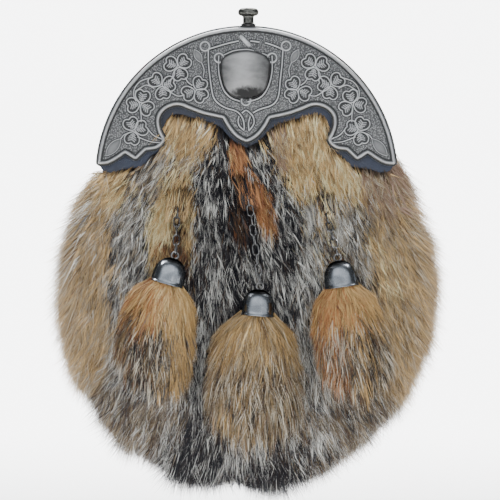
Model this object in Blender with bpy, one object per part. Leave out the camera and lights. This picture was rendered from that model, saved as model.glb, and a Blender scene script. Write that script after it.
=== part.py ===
"""A full-dress sporran: a cast cantle over a fur-covered leather pouch, with three tassels on chains.

Lengths in the tables are millimetres and angles are degrees. The pouch hangs upright: the front
faces -Y, +X is the viewer's right and +Z is up. The origin lies between the two belt loops.
"""

import math
from typing import NamedTuple

import bpy
import bmesh
from mathutils import Matrix, Vector

MM = 0.001
GAP = 0.3

# Levels through the thickness, along Y, from the back panel to the front.
PANEL_BACK_Y = -3.0
PANEL_THICKNESS = 2.5
BOWL_REAR_Y = PANEL_BACK_Y - PANEL_THICKNESS - GAP
BOWL_TOP_DEPTH = 12.0
BOWL_BELLY_DEPTH = 28.0
BOARD_BACK_Y = BOWL_REAR_Y - BOWL_TOP_DEPTH - GAP
BOARD_THICKNESS = 3.0
CANTLE_BACK_Y = BOARD_BACK_Y - BOARD_THICKNESS - GAP
CANTLE_THICKNESS = 1.8
FIELD_Y = CANTLE_BACK_Y - CANTLE_THICKNESS

# The pouch: a polar outline about its middle, and a bowl whose front swells below the cantle.
MIDDLE_Z = -60.0
TOP_ARC_CENTRE_Z = -25.0
POUCH_ARC_RADIUS = 72.0
ARC_END_ANGLE = 60.0
BOWL_WALL = 2.5
BOWL_LIP = 2.0
SWELL_TOP_Z = -19.0
SWELL_FOOT_Z = -82.0
TOP_SHOULDER = 16.0
BELLY_SHOULDER = 5.0
SHOULDER_ROUNDING = 0.55
BOWL_SIDES = 24
BOWL_RINGS = (0.4, 0.68, 0.86, 0.95, 1.0)
MOUTH_WIDTH = 100.0
MOUTH_FOOT_Z = 15.0
MOUTH_TOP_Z = 60.0
MOUTH_FRONT_GAP = 0.5
PANEL_TOP_Z = 33.0

# The cantle and its board.
CANTLE_ARC_RADIUS = 75.0
BOARD_ARC_RADIUS = 74.0
ARC_STEP = 8.0
EDGE_STEP = 4.8
RIDGE_STEP = 6.5
BOARD_BEVEL = 0.5
SHARPEST_MITRE = 0.35
DOME_HEIGHT = 4.6
DOME_HALF_WIDTH = 12.3
DOME_HALF_HEIGHT = 11.2
DOME_CENTRE_Z = 26.5
DOME_SIDES = 12
RELIEF_SINK = 0.4
LEAF_LENGTH = 6.9
LEAF_WIDTH = 7.0
LEAF_HEIGHT = 0.9
STEM_WIDTH = 1.1
STEM_HEIGHT = 0.7
FRAME_WIDTH = 1.5
FRAME_HEIGHT = 1.1
CROSSING_LIFT = 0.1
KNOT_WIDTH = 1.2
RING_RADIUS = 2.4
RING_WIRE = 0.65
RING_STATIONS = 8
RING_SIDES = 4
LEAF_TOP = 0.72
LEAF_MIDDLE = 0.52

# The fur: its solid backing over the leather and the locks that stand on it.
BACKING_FRONT = 3.5
BACKING_SIDE = 9.0
BACKING_REAR_Y = -7.2
COAT_CLEARANCE = 0.5
CUTTER_HALF_WIDTH = 130.0
CUTTER_TOP_Z = 80.0
CUTTER_BACK_Y = 10.0
CUTTER_FRONT_Y = -80.0
CUTTER_TIP = 2.0
SHOULDER_REACH = 0.9
SIDE_START = 0.5
LOCK_SIDES = 4
FAN_DEG = 36.0
FAN_HALF_WIDTH = 90.0

# The tassels: cups on chains.
CUP_SIDES = 12
TASSEL_Y = -50.0
EYE_RADIUS = 1.7
EYE_WIRE = 0.5
EYE_LIFT = 1.4
EYE_STATIONS = 10
LINK_LENGTH = 6.6
LINK_WIDTH = 3.6
LINK_WIRE = 0.35
LINK_BITE = 0.15
LINK_STATIONS = 8
LINK_SHARP_DEG = 60
WIRE_SIDES = 5
HAIR_SIDES = 8
HEAD_RADIUS = 6.5
HEAD_TOP = 6.0
HEAD_SHOULDER = 3.0
STAPLE_WIRE = 0.45
STAPLE_HALF_WIDTH = 2.3
STAPLE_CORNER = 0.8
POCKET_HALF_SIDE = 3.5
POCKET_DEPTH = 1.0
POCKET_REACH = 40.0

# The knob, turned about Z, and the collar under it.
KNOB_X = 0.9
KNOB_SIDES = 16
COLLAR_FOOT_Z = TOP_ARC_CENTRE_Z + CANTLE_ARC_RADIUS + GAP
COLLAR_HEIGHT = 1.4
COLLAR_TOP_RADIUS = 3.75
COLLAR_FOOT_RADIUS = 3.1
COLLAR_BORE_RADIUS = 2.1

# The belt loops.
LOOP_X = 36.0
LOOP_WIDTH = 18.0
LOOP_THICKNESS = 2.0
LOOP_STAND_Y = 4.0


class Edge(NamedTuple):
    """A point of an outline's right half, where a corner keeps its point."""

    x: float
    z: float
    corner: bool = False


class PolarRow(NamedTuple):
    """An outline's radius at an angle measured from straight up."""

    angle: float
    radius: float


class Material(NamedTuple):
    """The colour and surface of a piece."""

    colour: tuple
    roughness: float
    metallic: float


class RimStep(NamedTuple):
    """A step of the cantle's rim: how far in from the outline, and how far in front of the field."""

    inset: float
    height: float


class Shamrock(NamedTuple):
    """A shamrock's hub, and the directions of its three leaves, counted anticlockwise from +X."""

    x: float
    z: float
    leaves: tuple


class LockRow(NamedTuple):
    """A row of locks across the front, at a height, with the locks' number and size."""

    z: float
    count: int
    half_span: float
    length: float
    width: float


class LockStation(NamedTuple):
    """A lock's shape along its length, as fractions, with the lift off the leather in millimetres."""

    along: float
    girth: float
    lift: float


class Tassel(NamedTuple):
    """A cup's rim centre and tilt, the end of its hair, and its chain."""

    side: str
    rim_x: float
    rim_z: float
    tilt: float
    end_x: float
    end_z: float
    half_spread: float
    links: int
    aim_x: float
    aim_y: float
    aim_z: float


class HairStation(NamedTuple):
    """A tassel's shape along its hair: half width over the spread, and half thickness."""

    along: float
    girth: float
    half_thickness: float


class LoopPoint(NamedTuple):
    """A point on the middle of a belt loop's leather."""

    y: float
    z: float


class DomeStep(NamedTuple):
    """A step of the dome: its size over the foot's, and its height over the dome's."""

    size: float
    height: float


class LeafPoint(NamedTuple):
    """A point of a leaf's half outline, over its length and width."""

    reach: float
    spread: float


class TurnedStep(NamedTuple):
    """A step of a turned profile."""

    radius: float
    height: float


POUCH_OUTLINE = (
    PolarRow(60, 82.8),
    PolarRow(75, 79.5),
    PolarRow(90, 82.0),
    PolarRow(105, 87.0),
    PolarRow(120, 93.5),
    PolarRow(135, 98.0),
    PolarRow(150, 103.0),
    PolarRow(165, 108.5),
    PolarRow(180, 110.0),
)

FUR_OUTLINE = (
    PolarRow(60, 87.0),
    PolarRow(75, 90.0),
    PolarRow(90, 96.3),
    PolarRow(105, 101.0),
    PolarRow(120, 107.0),
    PolarRow(135, 113.5),
    PolarRow(150, 118.5),
    PolarRow(165, 123.5),
    PolarRow(180, 124.5),
)

CANTLE_EDGE = (
    Edge(74.4, -18.9, True),
    Edge(69.1, -18.4),
    Edge(64.4, -15.9),
    Edge(60.6, -13.2, True),
    Edge(55.3, -16.7, True),
    Edge(50.1, -11.7, True),
    Edge(45.3, -11.0),
    Edge(42.0, -8.9),
    Edge(40.2, -5.8, True),
    Edge(42.5, -1.9),
    Edge(43.5, 2.5),
    Edge(42.8, 6.1),
    Edge(40.1, 9.0),
    Edge(36.2, 10.6),
    Edge(32.6, 10.5),
    Edge(28.8, 9.0),
    Edge(21.4, 6.3),
    Edge(11.9, 4.2, True),
    Edge(9.4, -0.2),
    Edge(5.4, -4.9),
    Edge(0.0, -8.0, True),
)

BOARD_EDGE = (
    Edge(73.6, -19.2, True),
    Edge(71.5, -22.0),
    Edge(66.4, -22.6),
    Edge(61.9, -21.2),
    Edge(55.0, -20.2),
    Edge(51.0, -18.7),
    Edge(48.0, -14.8),
    Edge(43.6, -11.8),
    Edge(39.4, -7.6),
    Edge(40.2, -1.4),
    Edge(40.4, 2.5),
    Edge(38.2, 5.5),
    Edge(33.8, 6.5),
    Edge(25.8, 4.4),
    Edge(20.8, 3.1),
    Edge(13.8, 0.4),
    Edge(6.7, -6.6),
    Edge(0.0, -10.4, True),
)

RIM_STEPS = (
    RimStep(0.0, 0.8),
    RimStep(0.55, 1.5),
    RimStep(1.25, 1.4),
    RimStep(1.85, 0.0),
)

LEAF_OUTLINE = (
    LeafPoint(0.02, 0.0),
    LeafPoint(0.6, 0.5),
    LeafPoint(1.0, 0.32),
    LeafPoint(0.86, 0.0),
)
DOME_STEPS = (
    DomeStep(1.0, 0.35),
    DomeStep(0.86, 0.6),
    DomeStep(0.62, 0.86),
    DomeStep(0.3, 1.0),
)

# The left half of the relief, which is mirrored to the right.
SHAMROCKS = (
    Shamrock(-34.2, 30.2, (160, 42, 285)),
    Shamrock(-42.6, 20.8, (137, 12, 280)),
    Shamrock(-25.6, 18.6, (55, 205, 315)),
    Shamrock(-53.0, 11.7, (75, 190, 325)),
    Shamrock(-56.2, -1.9, (115, 20, 255)),
)
STEMS = (
    ((-26.1, 38.6), (-22.3, 32.2), (-21.7, 25.2)),
    ((-30.7, 24.7), (-27.0, 20.8)),
    ((-36.0, 28.8), (-36.2, 25.7), (-39.0, 22.6)),
    ((-39.2, 18.3), (-34.7, 15.6), (-31.7, 15.9)),
    ((-53.2, 8.9), (-52.7, 2.5)),
    ((-48.8, 24.5), (-56.0, 19.3), (-55.2, 12.9)),
    ((-46.1, 19.3), (-51.0, 20.8), (-55.7, 17.8)),
    ((-48.8, -3.4), (-42.1, -6.1)),
    ((-54.5, -4.9), (-48.0, -7.3), (-42.6, -7.6)),
    ((-70.0, -14.0), (-64.4, -5.4), (-59.9, -3.1)),
)
OUTER_FRAME = (
    (-19.1, 38.7),
    (-19.0, 31.9),
    (-18.1, 23.6),
    (-16.6, 15.3),
    (-13.7, 11.6),
    (-10.0, 9.5),
    (-5.9, 8.3),
    (-3.4, 6.6),
    (-1.7, 3.7),
    (-1.1, 0.0),
    (-1.3, -1.6),
)
TOP_FRAME = (
    (-18.7, 39.1),
    (-10.0, 41.7),
    (-3.4, 43.3),
    (3.4, 43.3),
    (10.0, 41.7),
    (18.7, 39.1),
)
KNOT_LOOPS = (
    ((-2.3, 7.0), (-0.5, 8.3), (1.2, 7.6), (3.2, 5.4), (3.8, 2.5), (2.8, 0.0), (1.2, -1.8)),
    ((-3.8, 5.4), (-4.2, 2.9), (-3.4, 0.4), (-1.3, -1.6)),
    ((1.8, 5.2), (1.0, 2.0), (1.2, -1.8)),
)
INNER_FRAME = (
    (-14.0, 33.6),
    (-14.0, 28.6),
    (-13.0, 22.8),
    (-10.9, 17.8),
    (-7.5, 14.5),
    (-2.6, 12.8),
)
INNER_TOP = ((-11.3, 36.0), (-6.3, 38.1), (0.0, 38.8), (6.3, 38.1), (11.3, 36.0))
CROSS_BAR = ((-3.2, 45.6), (1.8, 40.6))
RINGS = ((-20.8, 40.4), (20.8, 40.4), (-13.7, 34.6), (13.7, 34.6), (-0.1, 13.2))

LOCK_ROWS = (
    LockRow(-8.0, 5, 60.0, 50.0, 25.0),
    LockRow(-48.0, 6, 61.0, 52.0, 25.0),
    LockRow(-88.0, 4, 54.0, 50.0, 28.0),
    LockRow(-122.0, 3, 38.0, 46.0, 29.0),
)
LOCK_STATIONS = (
    LockStation(0.0, 0.45, 2.2),
    LockStation(0.3, 0.95, 3.8),
    LockStation(0.65, 0.8, 4.9),
    LockStation(1.0, 0.1, 5.3),
)
ROW_DROP = 5.0
ROOT_BELOW_BOARD = 6.0
LOCK_HALF_THICKNESS = 2.1
FRINGE_FIRST_ANGLE = 67.0
FRINGE_LOCKS = 16
FRINGE_ROOT = 7.2
FRINGE_FOOT_HALF_WIDTH = 17.0
FRINGE_SIDE_HALF_WIDTH = 6.5
FRINGE_STATIONS = (0.0, 0.35, 0.7, 1.0)
FRINGE_GIRTHS = (0.75, 1.0, 0.8, 0.12)
FRINGE_HALF_THICKNESS = 4.5
FRINGE_Y = -13.0
FRINGE_SWEEP_DEG = 16.0

TASSELS = (
    Tassel("left", -39.2, -78.2, 16.0, -47.0, -137.5, 20.0, 5, -34.3, -30.5, -33.0),
    Tassel("center", 5.3, -93.9, 5.0, 3.0, -165.0, 24.0, 9, 0.3, -29.5, -30.0),
    Tassel("right", 46.9, -79.7, -8.0, 57.5, -139.0, 18.5, 5, 39.5, -33.5, -43.0),
)

# The cup's outline from its apex down to the rim, and back up inside.
CUP_PROFILE = (
    TurnedStep(0.0, 13.2),
    TurnedStep(2.6, 12.8),
    TurnedStep(5.4, 11.2),
    TurnedStep(7.4, 8.4),
    TurnedStep(8.2, 4.6),
    TurnedStep(8.8, 0.0),
    TurnedStep(7.9, 0.0),
    TurnedStep(7.3, 4.6),
    TurnedStep(5.2, 9.6),
    TurnedStep(0.0, 12.0),
)
KNOB_PROFILE = (
    TurnedStep(0.0, 59.7),
    TurnedStep(4.3, 59.6),
    TurnedStep(5.2, 58.9),
    TurnedStep(5.2, 56.8),
    TurnedStep(4.2, 55.7),
    TurnedStep(2.75, 55.4),
    TurnedStep(2.75, 52.0),
    TurnedStep(1.75, 52.0),
    TurnedStep(1.75, 50.6),
    TurnedStep(0.0, 50.6),
)
HAIR_STATIONS = (
    HairStation(0.16, 0.53, 7.4),
    HairStation(0.5, 0.76, 6.6),
    HairStation(0.8, 0.73, 5.2),
    HairStation(0.93, 0.47, 3.4),
)
HAIR_BEND = 0.4
HEAD_TAPER = 1.2
HAIR_LOCKS = 5
HAIR_LOCK_SPAN = 0.8
HAIR_LOCK_HALF_WIDTH = 0.25
HAIR_LOCK_HALF_THICKNESS = 4.2
HAIR_LOCK_LIFT = 3.0
SIDE_LOCK_SHORTER = 0.12
NEXT_LOCK_SHORTER = 0.05
HAIR_LOCK_STATIONS = (
    LockStation(0.12, 0.7, 1.0),
    LockStation(0.45, 1.1, 0.8),
    LockStation(0.8, 0.9, 0.36),
    LockStation(1.0, 0.15, 0.0),
)

LOOP_TAB_Y = PANEL_BACK_Y + GAP + LOOP_THICKNESS / 2
LOOP_HALF_PATH = (
    LoopPoint(LOOP_TAB_Y, 21.5),
    LoopPoint(LOOP_TAB_Y, 15.5),
    LoopPoint(LOOP_STAND_Y, 11.5),
)

LEATHER = Material((0.012, 0.016, 0.022, 1), 0.55, 0.0)
BOARD_LEATHER = Material((0.03, 0.035, 0.042, 1), 0.5, 0.0)
PEWTER = Material((0.42, 0.42, 0.41, 1), 0.38, 1.0)
DARK_CHROME = Material((0.5, 0.5, 0.52, 1), 0.08, 1.0)
BLACKENED = Material((0.06, 0.06, 0.06, 1), 0.35, 1.0)
STEEL = Material((0.55, 0.55, 0.55, 1), 0.25, 1.0)
FUR = Material((0.28, 0.23, 0.16, 1), 0.9, 0.0)
TASSEL_HAIR = Material((0.36, 0.25, 0.14, 1), 0.9, 0.0)


def clear_scene():
    """Removes the objects that the scene starts with."""
    for thing in list(bpy.data.objects):
        bpy.data.objects.remove(thing)


def material_for(name, look):
    """Makes a piece's own material."""
    material = bpy.data.materials.new(name)
    material.use_nodes = True
    shader = material.node_tree.nodes["Principled BSDF"]
    shader.inputs["Base Color"].default_value = look.colour
    shader.inputs["Roughness"].default_value = look.roughness
    shader.inputs["Metallic"].default_value = look.metallic
    return material


def new_object(name, points, faces, look=None, collection=None, flat_caps=False):
    """Makes a mesh object from millimetre points, facing out, in triangles but for any flat caps."""
    mesh = bpy.data.meshes.new(name)
    mesh.from_pydata([Vector(point) * MM for point in points], [], faces)
    shape = bmesh.new()
    shape.from_mesh(mesh)
    bmesh.ops.recalc_face_normals(shape, faces=shape.faces)
    bent = [face for face in shape.faces if not (flat_caps and len(face.verts) > 4)]
    bmesh.ops.triangulate(shape, faces=bent)
    shape.to_mesh(mesh)
    shape.free()
    thing = bpy.data.objects.new(name, mesh)
    (collection or bpy.context.scene.collection).objects.link(thing)
    if look is None:
        make_helper(thing)
    else:
        mesh.materials.append(material_for(name, look))
    return thing


def make_helper(thing):
    """Marks an object as a cutter or as a shape that a Boolean takes in."""
    thing.hide_render = True
    thing.display_type = "WIRE"


def smooth_shade(thing, sharp_deg=40):
    """Shades a round piece smooth, with its sharp edges kept."""
    thing.data.shade_smooth()
    thing.data.set_sharp_from_angle(angle=math.radians(sharp_deg))


def helper_collection(name):
    """Makes a collection for the shapes that one Boolean takes in."""
    collection = bpy.data.collections.new(name)
    bpy.context.scene.collection.children.link(collection)
    return collection


def join_all(thing, collection):
    """Fuses every shape of a collection to an object."""
    modifier = thing.modifiers.new("fuse", "BOOLEAN")
    modifier.operation = "UNION"
    modifier.solver = "EXACT"
    modifier.operand_type = "COLLECTION"
    modifier.collection = collection


def cut(thing, cutter):
    """Cuts a helper's shape out of an object."""
    modifier = thing.modifiers.new("cut", "BOOLEAN")
    modifier.operation = "DIFFERENCE"
    modifier.solver = "EXACT"
    modifier.object = cutter


def turned(name, steps, sides, look):
    """Turns a profile, drawn from its top down its outer side, about Z."""
    thing = bpy.data.objects.new(name, bpy.data.meshes.new(name))
    points = [(step.radius * MM, 0, step.height * MM) for step in steps]
    edges = [(index, index + 1) for index in range(len(points) - 1)]
    if steps[0].radius:
        edges.append((len(points) - 1, 0))
    thing.data.from_pydata(points, edges, [])
    thing.data.materials.append(material_for(name, look))
    bpy.context.scene.collection.objects.link(thing)
    screw = thing.modifiers.new("turn", "SCREW")
    screw.steps = sides
    screw.render_steps = sides
    screw.use_merge_vertices = True
    screw.merge_threshold = 1e-5
    return thing


def loft(rings, closed=False):
    """Joins rings of points into a skin, with its ends capped or its last ring joined to the first."""
    count = len(rings[0])
    points = [point for ring in rings for point in ring]
    faces = []
    spans = len(rings) if closed else len(rings) - 1
    for span in range(spans):
        first = span * count
        second = (span + 1) % len(rings) * count
        for side in range(count):
            after = (side + 1) % count
            faces.append((first + side, first + after, second + after, second + side))
    if not closed:
        faces.append(tuple(range(count - 1, -1, -1)))
        faces.append(tuple(range(len(points) - count, len(points))))
    return points, faces


def wire_rings(path, radius, sides, closed=False):
    """Rings of a round wire along a path, which lies in one plane or bends little out of it."""
    path = [Vector(point) for point in path]
    rings = []
    across = None
    for index, point in enumerate(path):
        before = path[index - 1] if index or closed else point
        after = path[(index + 1) % len(path)] if closed or index + 1 < len(path) else point
        tangent = (after - before).normalized()
        if across is None:
            across = tangent.orthogonal().normalized()
        across = (across - tangent * across.dot(tangent)).normalized()
        other = tangent.cross(across)
        turns = [2 * math.pi * side / sides for side in range(sides)]
        rings.append([point + radius * (across * math.cos(t) + other * math.sin(t)) for t in turns])
    return rings


def smooth_curve(points, step):
    """Points about a step apart on the Catmull-Rom curve through the given ones."""
    points = [Vector(point) for point in points]
    ends = [2 * points[0] - points[1]] + points + [2 * points[-1] - points[-2]]
    found = []
    for index in range(1, len(ends) - 2):
        p0, p1, p2, p3 = ends[index - 1 : index + 3]
        pieces = max(1, round((p2 - p1).length / step))
        for piece in range(pieces):
            t = piece / pieces
            bend = (2 * p0 - 5 * p1 + 4 * p2 - p3) * t**2 + (3 * p1 - p0 - 3 * p2 + p3) * t**3
            found.append(0.5 * (2 * p1 + (p2 - p0) * t + bend))
    return found + [points[-1]]


def smooth_edge(rows, step):
    """A half outline's points, smooth between its corners."""
    found = []
    run = [Vector((rows[0].x, rows[0].z))]
    for row in rows[1:]:
        run.append(Vector((row.x, row.z)))
        if row.corner:
            found += smooth_curve(run, step)[:-1]
            run = run[-1:]
    return found + run


def plate_outline(rows, arc_radius):
    """The closed outline of the cantle or board: its lower edge, mirrored, and the arc over the top."""
    right = smooth_edge(rows, EDGE_STEP)
    lower = right + [Vector((-point.x, point.y)) for point in reversed(right[:-1])]
    tip_angle = math.atan2(rows[0].z - TOP_ARC_CENTRE_Z, rows[0].x)
    sweep = math.pi - 2 * tip_angle
    pieces = round(sweep * arc_radius / ARC_STEP)
    centre = Vector((0, TOP_ARC_CENTRE_Z))
    arc = []
    for piece in range(1, pieces):
        turn = math.pi - tip_angle - sweep * piece / pieces
        arc.append(centre + arc_radius * Vector((math.cos(turn), math.sin(turn))))
    return lower + arc


def inset_outline(outline, distance):
    """The outline moved inwards by a distance, with mitred corners."""
    area = sum(a.x * b.y - b.x * a.y for a, b in zip(outline, outline[1:] + outline[:1]))
    inward = 1 if area > 0 else -1
    found = []
    for index, point in enumerate(outline):
        before = (point - outline[index - 1]).normalized()
        after = (outline[(index + 1) % len(outline)] - point).normalized()
        first = inward * Vector((-before.y, before.x))
        second = inward * Vector((-after.y, after.x))
        stretch = max(1 + first.dot(second), SHARPEST_MITRE)
        found.append(point + distance * (first + second) / stretch)
    return found


def plate_rings(outline, steps):
    """Rings of a plate from its back to its front, each inset from the outline and at its own Y."""
    rings = []
    for inset, y in steps:
        shape = inset_outline(outline, inset) if inset else outline
        rings.append([Vector((point.x, y, point.y)) for point in shape])
    return rings


def blend(start, end, value):
    """0 before start, 1 past end, and a smooth rise between."""
    part = min(max((value - start) / (end - start), 0.0), 1.0)
    return part * part * (3 - 2 * part)


def radius_at(rows, angle):
    """The smooth radius of a polar outline, the same on both sides."""
    angle = abs((angle + 180) % 360 - 180)
    if angle <= ARC_END_ANGLE:
        turn = math.radians(angle)
        drop = TOP_ARC_CENTRE_Z - MIDDLE_Z
        arc = drop * math.cos(turn) + math.sqrt(POUCH_ARC_RADIUS**2 - (drop * math.sin(turn)) ** 2)
        return arc + rows[0].radius - POUCH_OUTLINE[0].radius
    for low, high in zip(rows, rows[1:]):
        if angle <= high.angle:
            part = (angle - low.angle) / (high.angle - low.angle)
            return low.radius + (high.radius - low.radius) * part
    return rows[-1].radius


def bowl_y(z, reach, grow=0.0):
    """The Y of the pouch's front at a height, at a fraction of the way out from its middle."""
    swell = blend(SWELL_TOP_Z, SWELL_FOOT_Z, z)
    depth = BOWL_TOP_DEPTH + (BOWL_BELLY_DEPTH - BOWL_TOP_DEPTH) * swell + grow
    shoulder = TOP_SHOULDER + (BELLY_SHOULDER - TOP_SHOULDER) * swell
    rise = (1 - min(reach, 1.0) ** shoulder) ** SHOULDER_ROUNDING
    return BOWL_REAR_Y - BOWL_LIP - (depth - BOWL_LIP) * rise


def polar_point(angle, radius):
    """The X and Z at an angle from straight up and a distance from the pouch's middle."""
    turn = math.radians(angle)
    return radius * math.sin(turn), MIDDLE_Z + radius * math.cos(turn)


def bowl_rings(grow_front, grow_side, rear_y):
    """Rings of the pouch's front from near its middle to its rear lip, grown outwards."""
    angles = [360 * side / BOWL_SIDES for side in range(BOWL_SIDES)]
    rings = []
    for reach in BOWL_RINGS:
        ring = []
        for angle in angles:
            spread = grow_side * blend(SIDE_START, 1.0, reach)
            x, z = polar_point(angle, radius_at(POUCH_OUTLINE, angle) * reach + spread)
            ring.append(Vector((x, bowl_y(z, reach, grow_front), z)))
        rings.append(ring)
    rings.append([Vector((point.x, rear_y, point.z)) for point in rings[-1]])
    return rings


def pouch_wall():
    """The moulded leather front and gusset, open at the rear and at the mouth."""
    rings = bowl_rings(0.0, 0.0, BOWL_REAR_Y)
    points, faces = loft(rings)
    wall = new_object("pouch_wall", points, faces[:-1], LEATHER)
    bowl = wall.modifiers.new("wall", "SOLIDIFY")
    bowl.thickness = BOWL_WALL * MM
    bowl.offset = -1
    bowl.use_even_offset = True
    smooth_shade(wall)
    front = BOWL_REAR_Y - BOWL_TOP_DEPTH + BOWL_WALL + MOUTH_FRONT_GAP
    size = (MOUTH_WIDTH, PANEL_BACK_Y - front, MOUTH_TOP_Z - MOUTH_FOOT_Z)
    middle = (0, (front + PANEL_BACK_Y) / 2, (MOUTH_TOP_Z + MOUTH_FOOT_Z) / 2)
    cut(wall, box("mouth_cutter", middle, size))


def box(name, middle, size):
    """A helper box."""
    bpy.ops.mesh.primitive_cube_add(size=MM, location=Vector(middle) * MM)
    thing = bpy.context.active_object
    thing.name = name
    thing.data.transform(Matrix.Diagonal((*size, 1)))
    make_helper(thing)
    return thing


def back_panel():
    """The flat leather back, cut straight across below the mouth."""
    shape = []
    for side in range(BOWL_SIDES):
        angle = 360 * side / BOWL_SIDES
        x, z = polar_point(angle, radius_at(POUCH_OUTLINE, angle))
        if z < PANEL_TOP_Z:
            shape.append(Vector((x, z)))
    corner_x = math.sqrt(POUCH_ARC_RADIUS**2 - (PANEL_TOP_Z - TOP_ARC_CENTRE_Z) ** 2)
    shape = [Vector((corner_x, PANEL_TOP_Z))] + shape + [Vector((-corner_x, PANEL_TOP_Z))]
    front_y = PANEL_BACK_Y - PANEL_THICKNESS
    points, faces = loft(plate_rings(shape, ((0, PANEL_BACK_Y), (0, front_y))))
    new_object("back_panel", points, faces, LEATHER)


def belt_loop(side, sign):
    """A strap of leather whose ends lie on the back panel and whose middle stands off it."""
    path = [Vector(point) for point in LOOP_HALF_PATH]
    path += [Vector((point.y, -point.z)) for point in reversed(LOOP_HALF_PATH)]
    half = LOOP_THICKNESS / 2
    sides = []
    for direction in (1, -1):
        line = []
        for index, point in enumerate(path):
            before = (point - path[max(index - 1, 0)]).normalized()
            after = (path[min(index + 1, len(path) - 1)] - point).normalized()
            first = direction * Vector((-before.y, before.x))
            second = direction * Vector((-after.y, after.x))
            line.append(point + half * (first + second) / max(1 + first.dot(second), 1))
        sides.append(line)
    shape = sides[0] + sides[1][::-1]
    middle = sign * LOOP_X
    rings = []
    for x in (middle - LOOP_WIDTH / 2, middle + LOOP_WIDTH / 2):
        rings.append([Vector((x, point.x, point.y)) for point in shape])
    points, faces = loft(rings)
    new_object(f"belt_loop_{side}", points, faces, LEATHER)


def cantle_board():
    """The leather board, whose lower edge shows below the cantle."""
    front_y = BOARD_BACK_Y - BOARD_THICKNESS
    outline = plate_outline(BOARD_EDGE, BOARD_ARC_RADIUS)
    steps = ((0, BOARD_BACK_Y), (0, front_y + BOARD_BEVEL), (BOARD_BEVEL, front_y))
    points, faces = loft(plate_rings(outline, steps))
    new_object("cantle_board", points, faces, BOARD_LEATHER)


def ridge(name, path, width, height, collection):
    """A raised ridge on the cantle's field, along a path of X and Z."""
    path = smooth_curve([Vector(point) for point in path], RIDGE_STEP)
    foot_y = FIELD_Y + RELIEF_SINK
    rings = []
    for index, point in enumerate(path):
        before = path[max(index - 1, 0)]
        after = path[min(index + 1, len(path) - 1)]
        along = (after - before).normalized()
        across = Vector((-along.y, along.x)) * width / 2
        left = point + across
        right = point - across
        ring = [Vector((left.x, foot_y, left.y)), Vector((point.x, FIELD_Y - height, point.y))]
        rings.append(ring + [Vector((right.x, foot_y, right.y))])
    points, faces = loft(rings)
    new_object(name, points, faces, None, collection)


def leaf(name, hub, direction, collection):
    """A heart-shaped leaf standing out from a shamrock's hub."""
    along = Vector((math.cos(direction), math.sin(direction)))
    across = Vector((-along.y, along.x))
    half = [(reach * LEAF_LENGTH, spread * LEAF_WIDTH) for reach, spread in LEAF_OUTLINE]
    shape = half + [(reach, -spread) for reach, spread in half[-2:0:-1]]
    flat = [hub + along * reach + across * spread for reach, spread in shape]
    middle = hub + along * LEAF_LENGTH * LEAF_MIDDLE
    rings = []
    for size, y in ((1.0, FIELD_Y + RELIEF_SINK), (LEAF_TOP, FIELD_Y - LEAF_HEIGHT)):
        moved = [middle + (point - middle) * size for point in flat]
        rings.append([Vector((point.x, y, point.y)) for point in moved])
    points, faces = loft(rings)
    new_object(name, points, faces, None, collection)


def relief_ring(name, centre, collection):
    """A small wire ring lying on the field."""
    turns = [2 * math.pi * side / RING_STATIONS for side in range(RING_STATIONS)]
    x, z = centre
    path = [(x + RING_RADIUS * math.cos(t), FIELD_Y, z + RING_RADIUS * math.sin(t)) for t in turns]
    points, faces = loft(wire_rings(path, RING_WIRE, RING_SIDES, True), True)
    new_object(name, points, faces, None, collection)


def dome(collection):
    """The polished oval dome in the middle of the shield."""
    levels = [(1.0, FIELD_Y + RELIEF_SINK)]
    levels += [(step.size, FIELD_Y - DOME_HEIGHT * step.height) for step in DOME_STEPS]
    rings = []
    for size, y in levels:
        ring = []
        for side in range(DOME_SIDES):
            turn = 2 * math.pi * side / DOME_SIDES
            x = DOME_HALF_WIDTH * size * math.cos(turn)
            ring.append(Vector((x, y, DOME_CENTRE_Z + DOME_HALF_HEIGHT * size * math.sin(turn))))
        rings.append(ring)
    points, faces = loft(rings)
    new_object("dome", points, faces, None, collection)


def mirrored(path):
    """A path's mirror image across the middle."""
    return tuple((-x, z) for x, z in path)


def cantle():
    """The casting: a rimmed plate with its relief fused to it."""
    outline = plate_outline(CANTLE_EDGE, CANTLE_ARC_RADIUS)
    steps = [(0, CANTLE_BACK_Y)] + [(step.inset, FIELD_Y - step.height) for step in RIM_STEPS]
    points, faces = loft(plate_rings(outline, steps))
    plate = new_object("cantle", points, faces, PEWTER, flat_caps=True)
    relief = helper_collection("cantle_relief")
    for sign in (1, -1):
        for index, shamrock in enumerate(SHAMROCKS):
            hub = Vector((sign * shamrock.x, shamrock.z))
            for turn in shamrock.leaves:
                direction = math.radians(turn if sign > 0 else 180 - turn)
                leaf(f"leaf_{sign}_{index}_{turn}", hub, direction, relief)
        paths = STEMS if sign > 0 else tuple(mirrored(path) for path in STEMS)
        for index, path in enumerate(paths):
            ridge(f"stem_{sign}_{index}", path, STEM_WIDTH, STEM_HEIGHT, relief)
        for name, path in (("outer", OUTER_FRAME), ("inner", INNER_FRAME)):
            side = path if sign > 0 else mirrored(path)
            ridge(f"{name}_{sign}", side, FRAME_WIDTH, FRAME_HEIGHT, relief)
    for name, path in (("top", TOP_FRAME), ("inner_top", INNER_TOP), ("bar", CROSS_BAR)):
        ridge(name, path, FRAME_WIDTH, FRAME_HEIGHT + CROSSING_LIFT, relief)
    for index, path in enumerate(KNOT_LOOPS):
        ridge(f"knot_{index}", path, KNOT_WIDTH, FRAME_HEIGHT + CROSSING_LIFT * index / 2, relief)
    for index, centre in enumerate(RINGS):
        relief_ring(f"ring_{index}", centre, relief)
    dome(relief)
    join_all(plate, relief)


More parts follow.
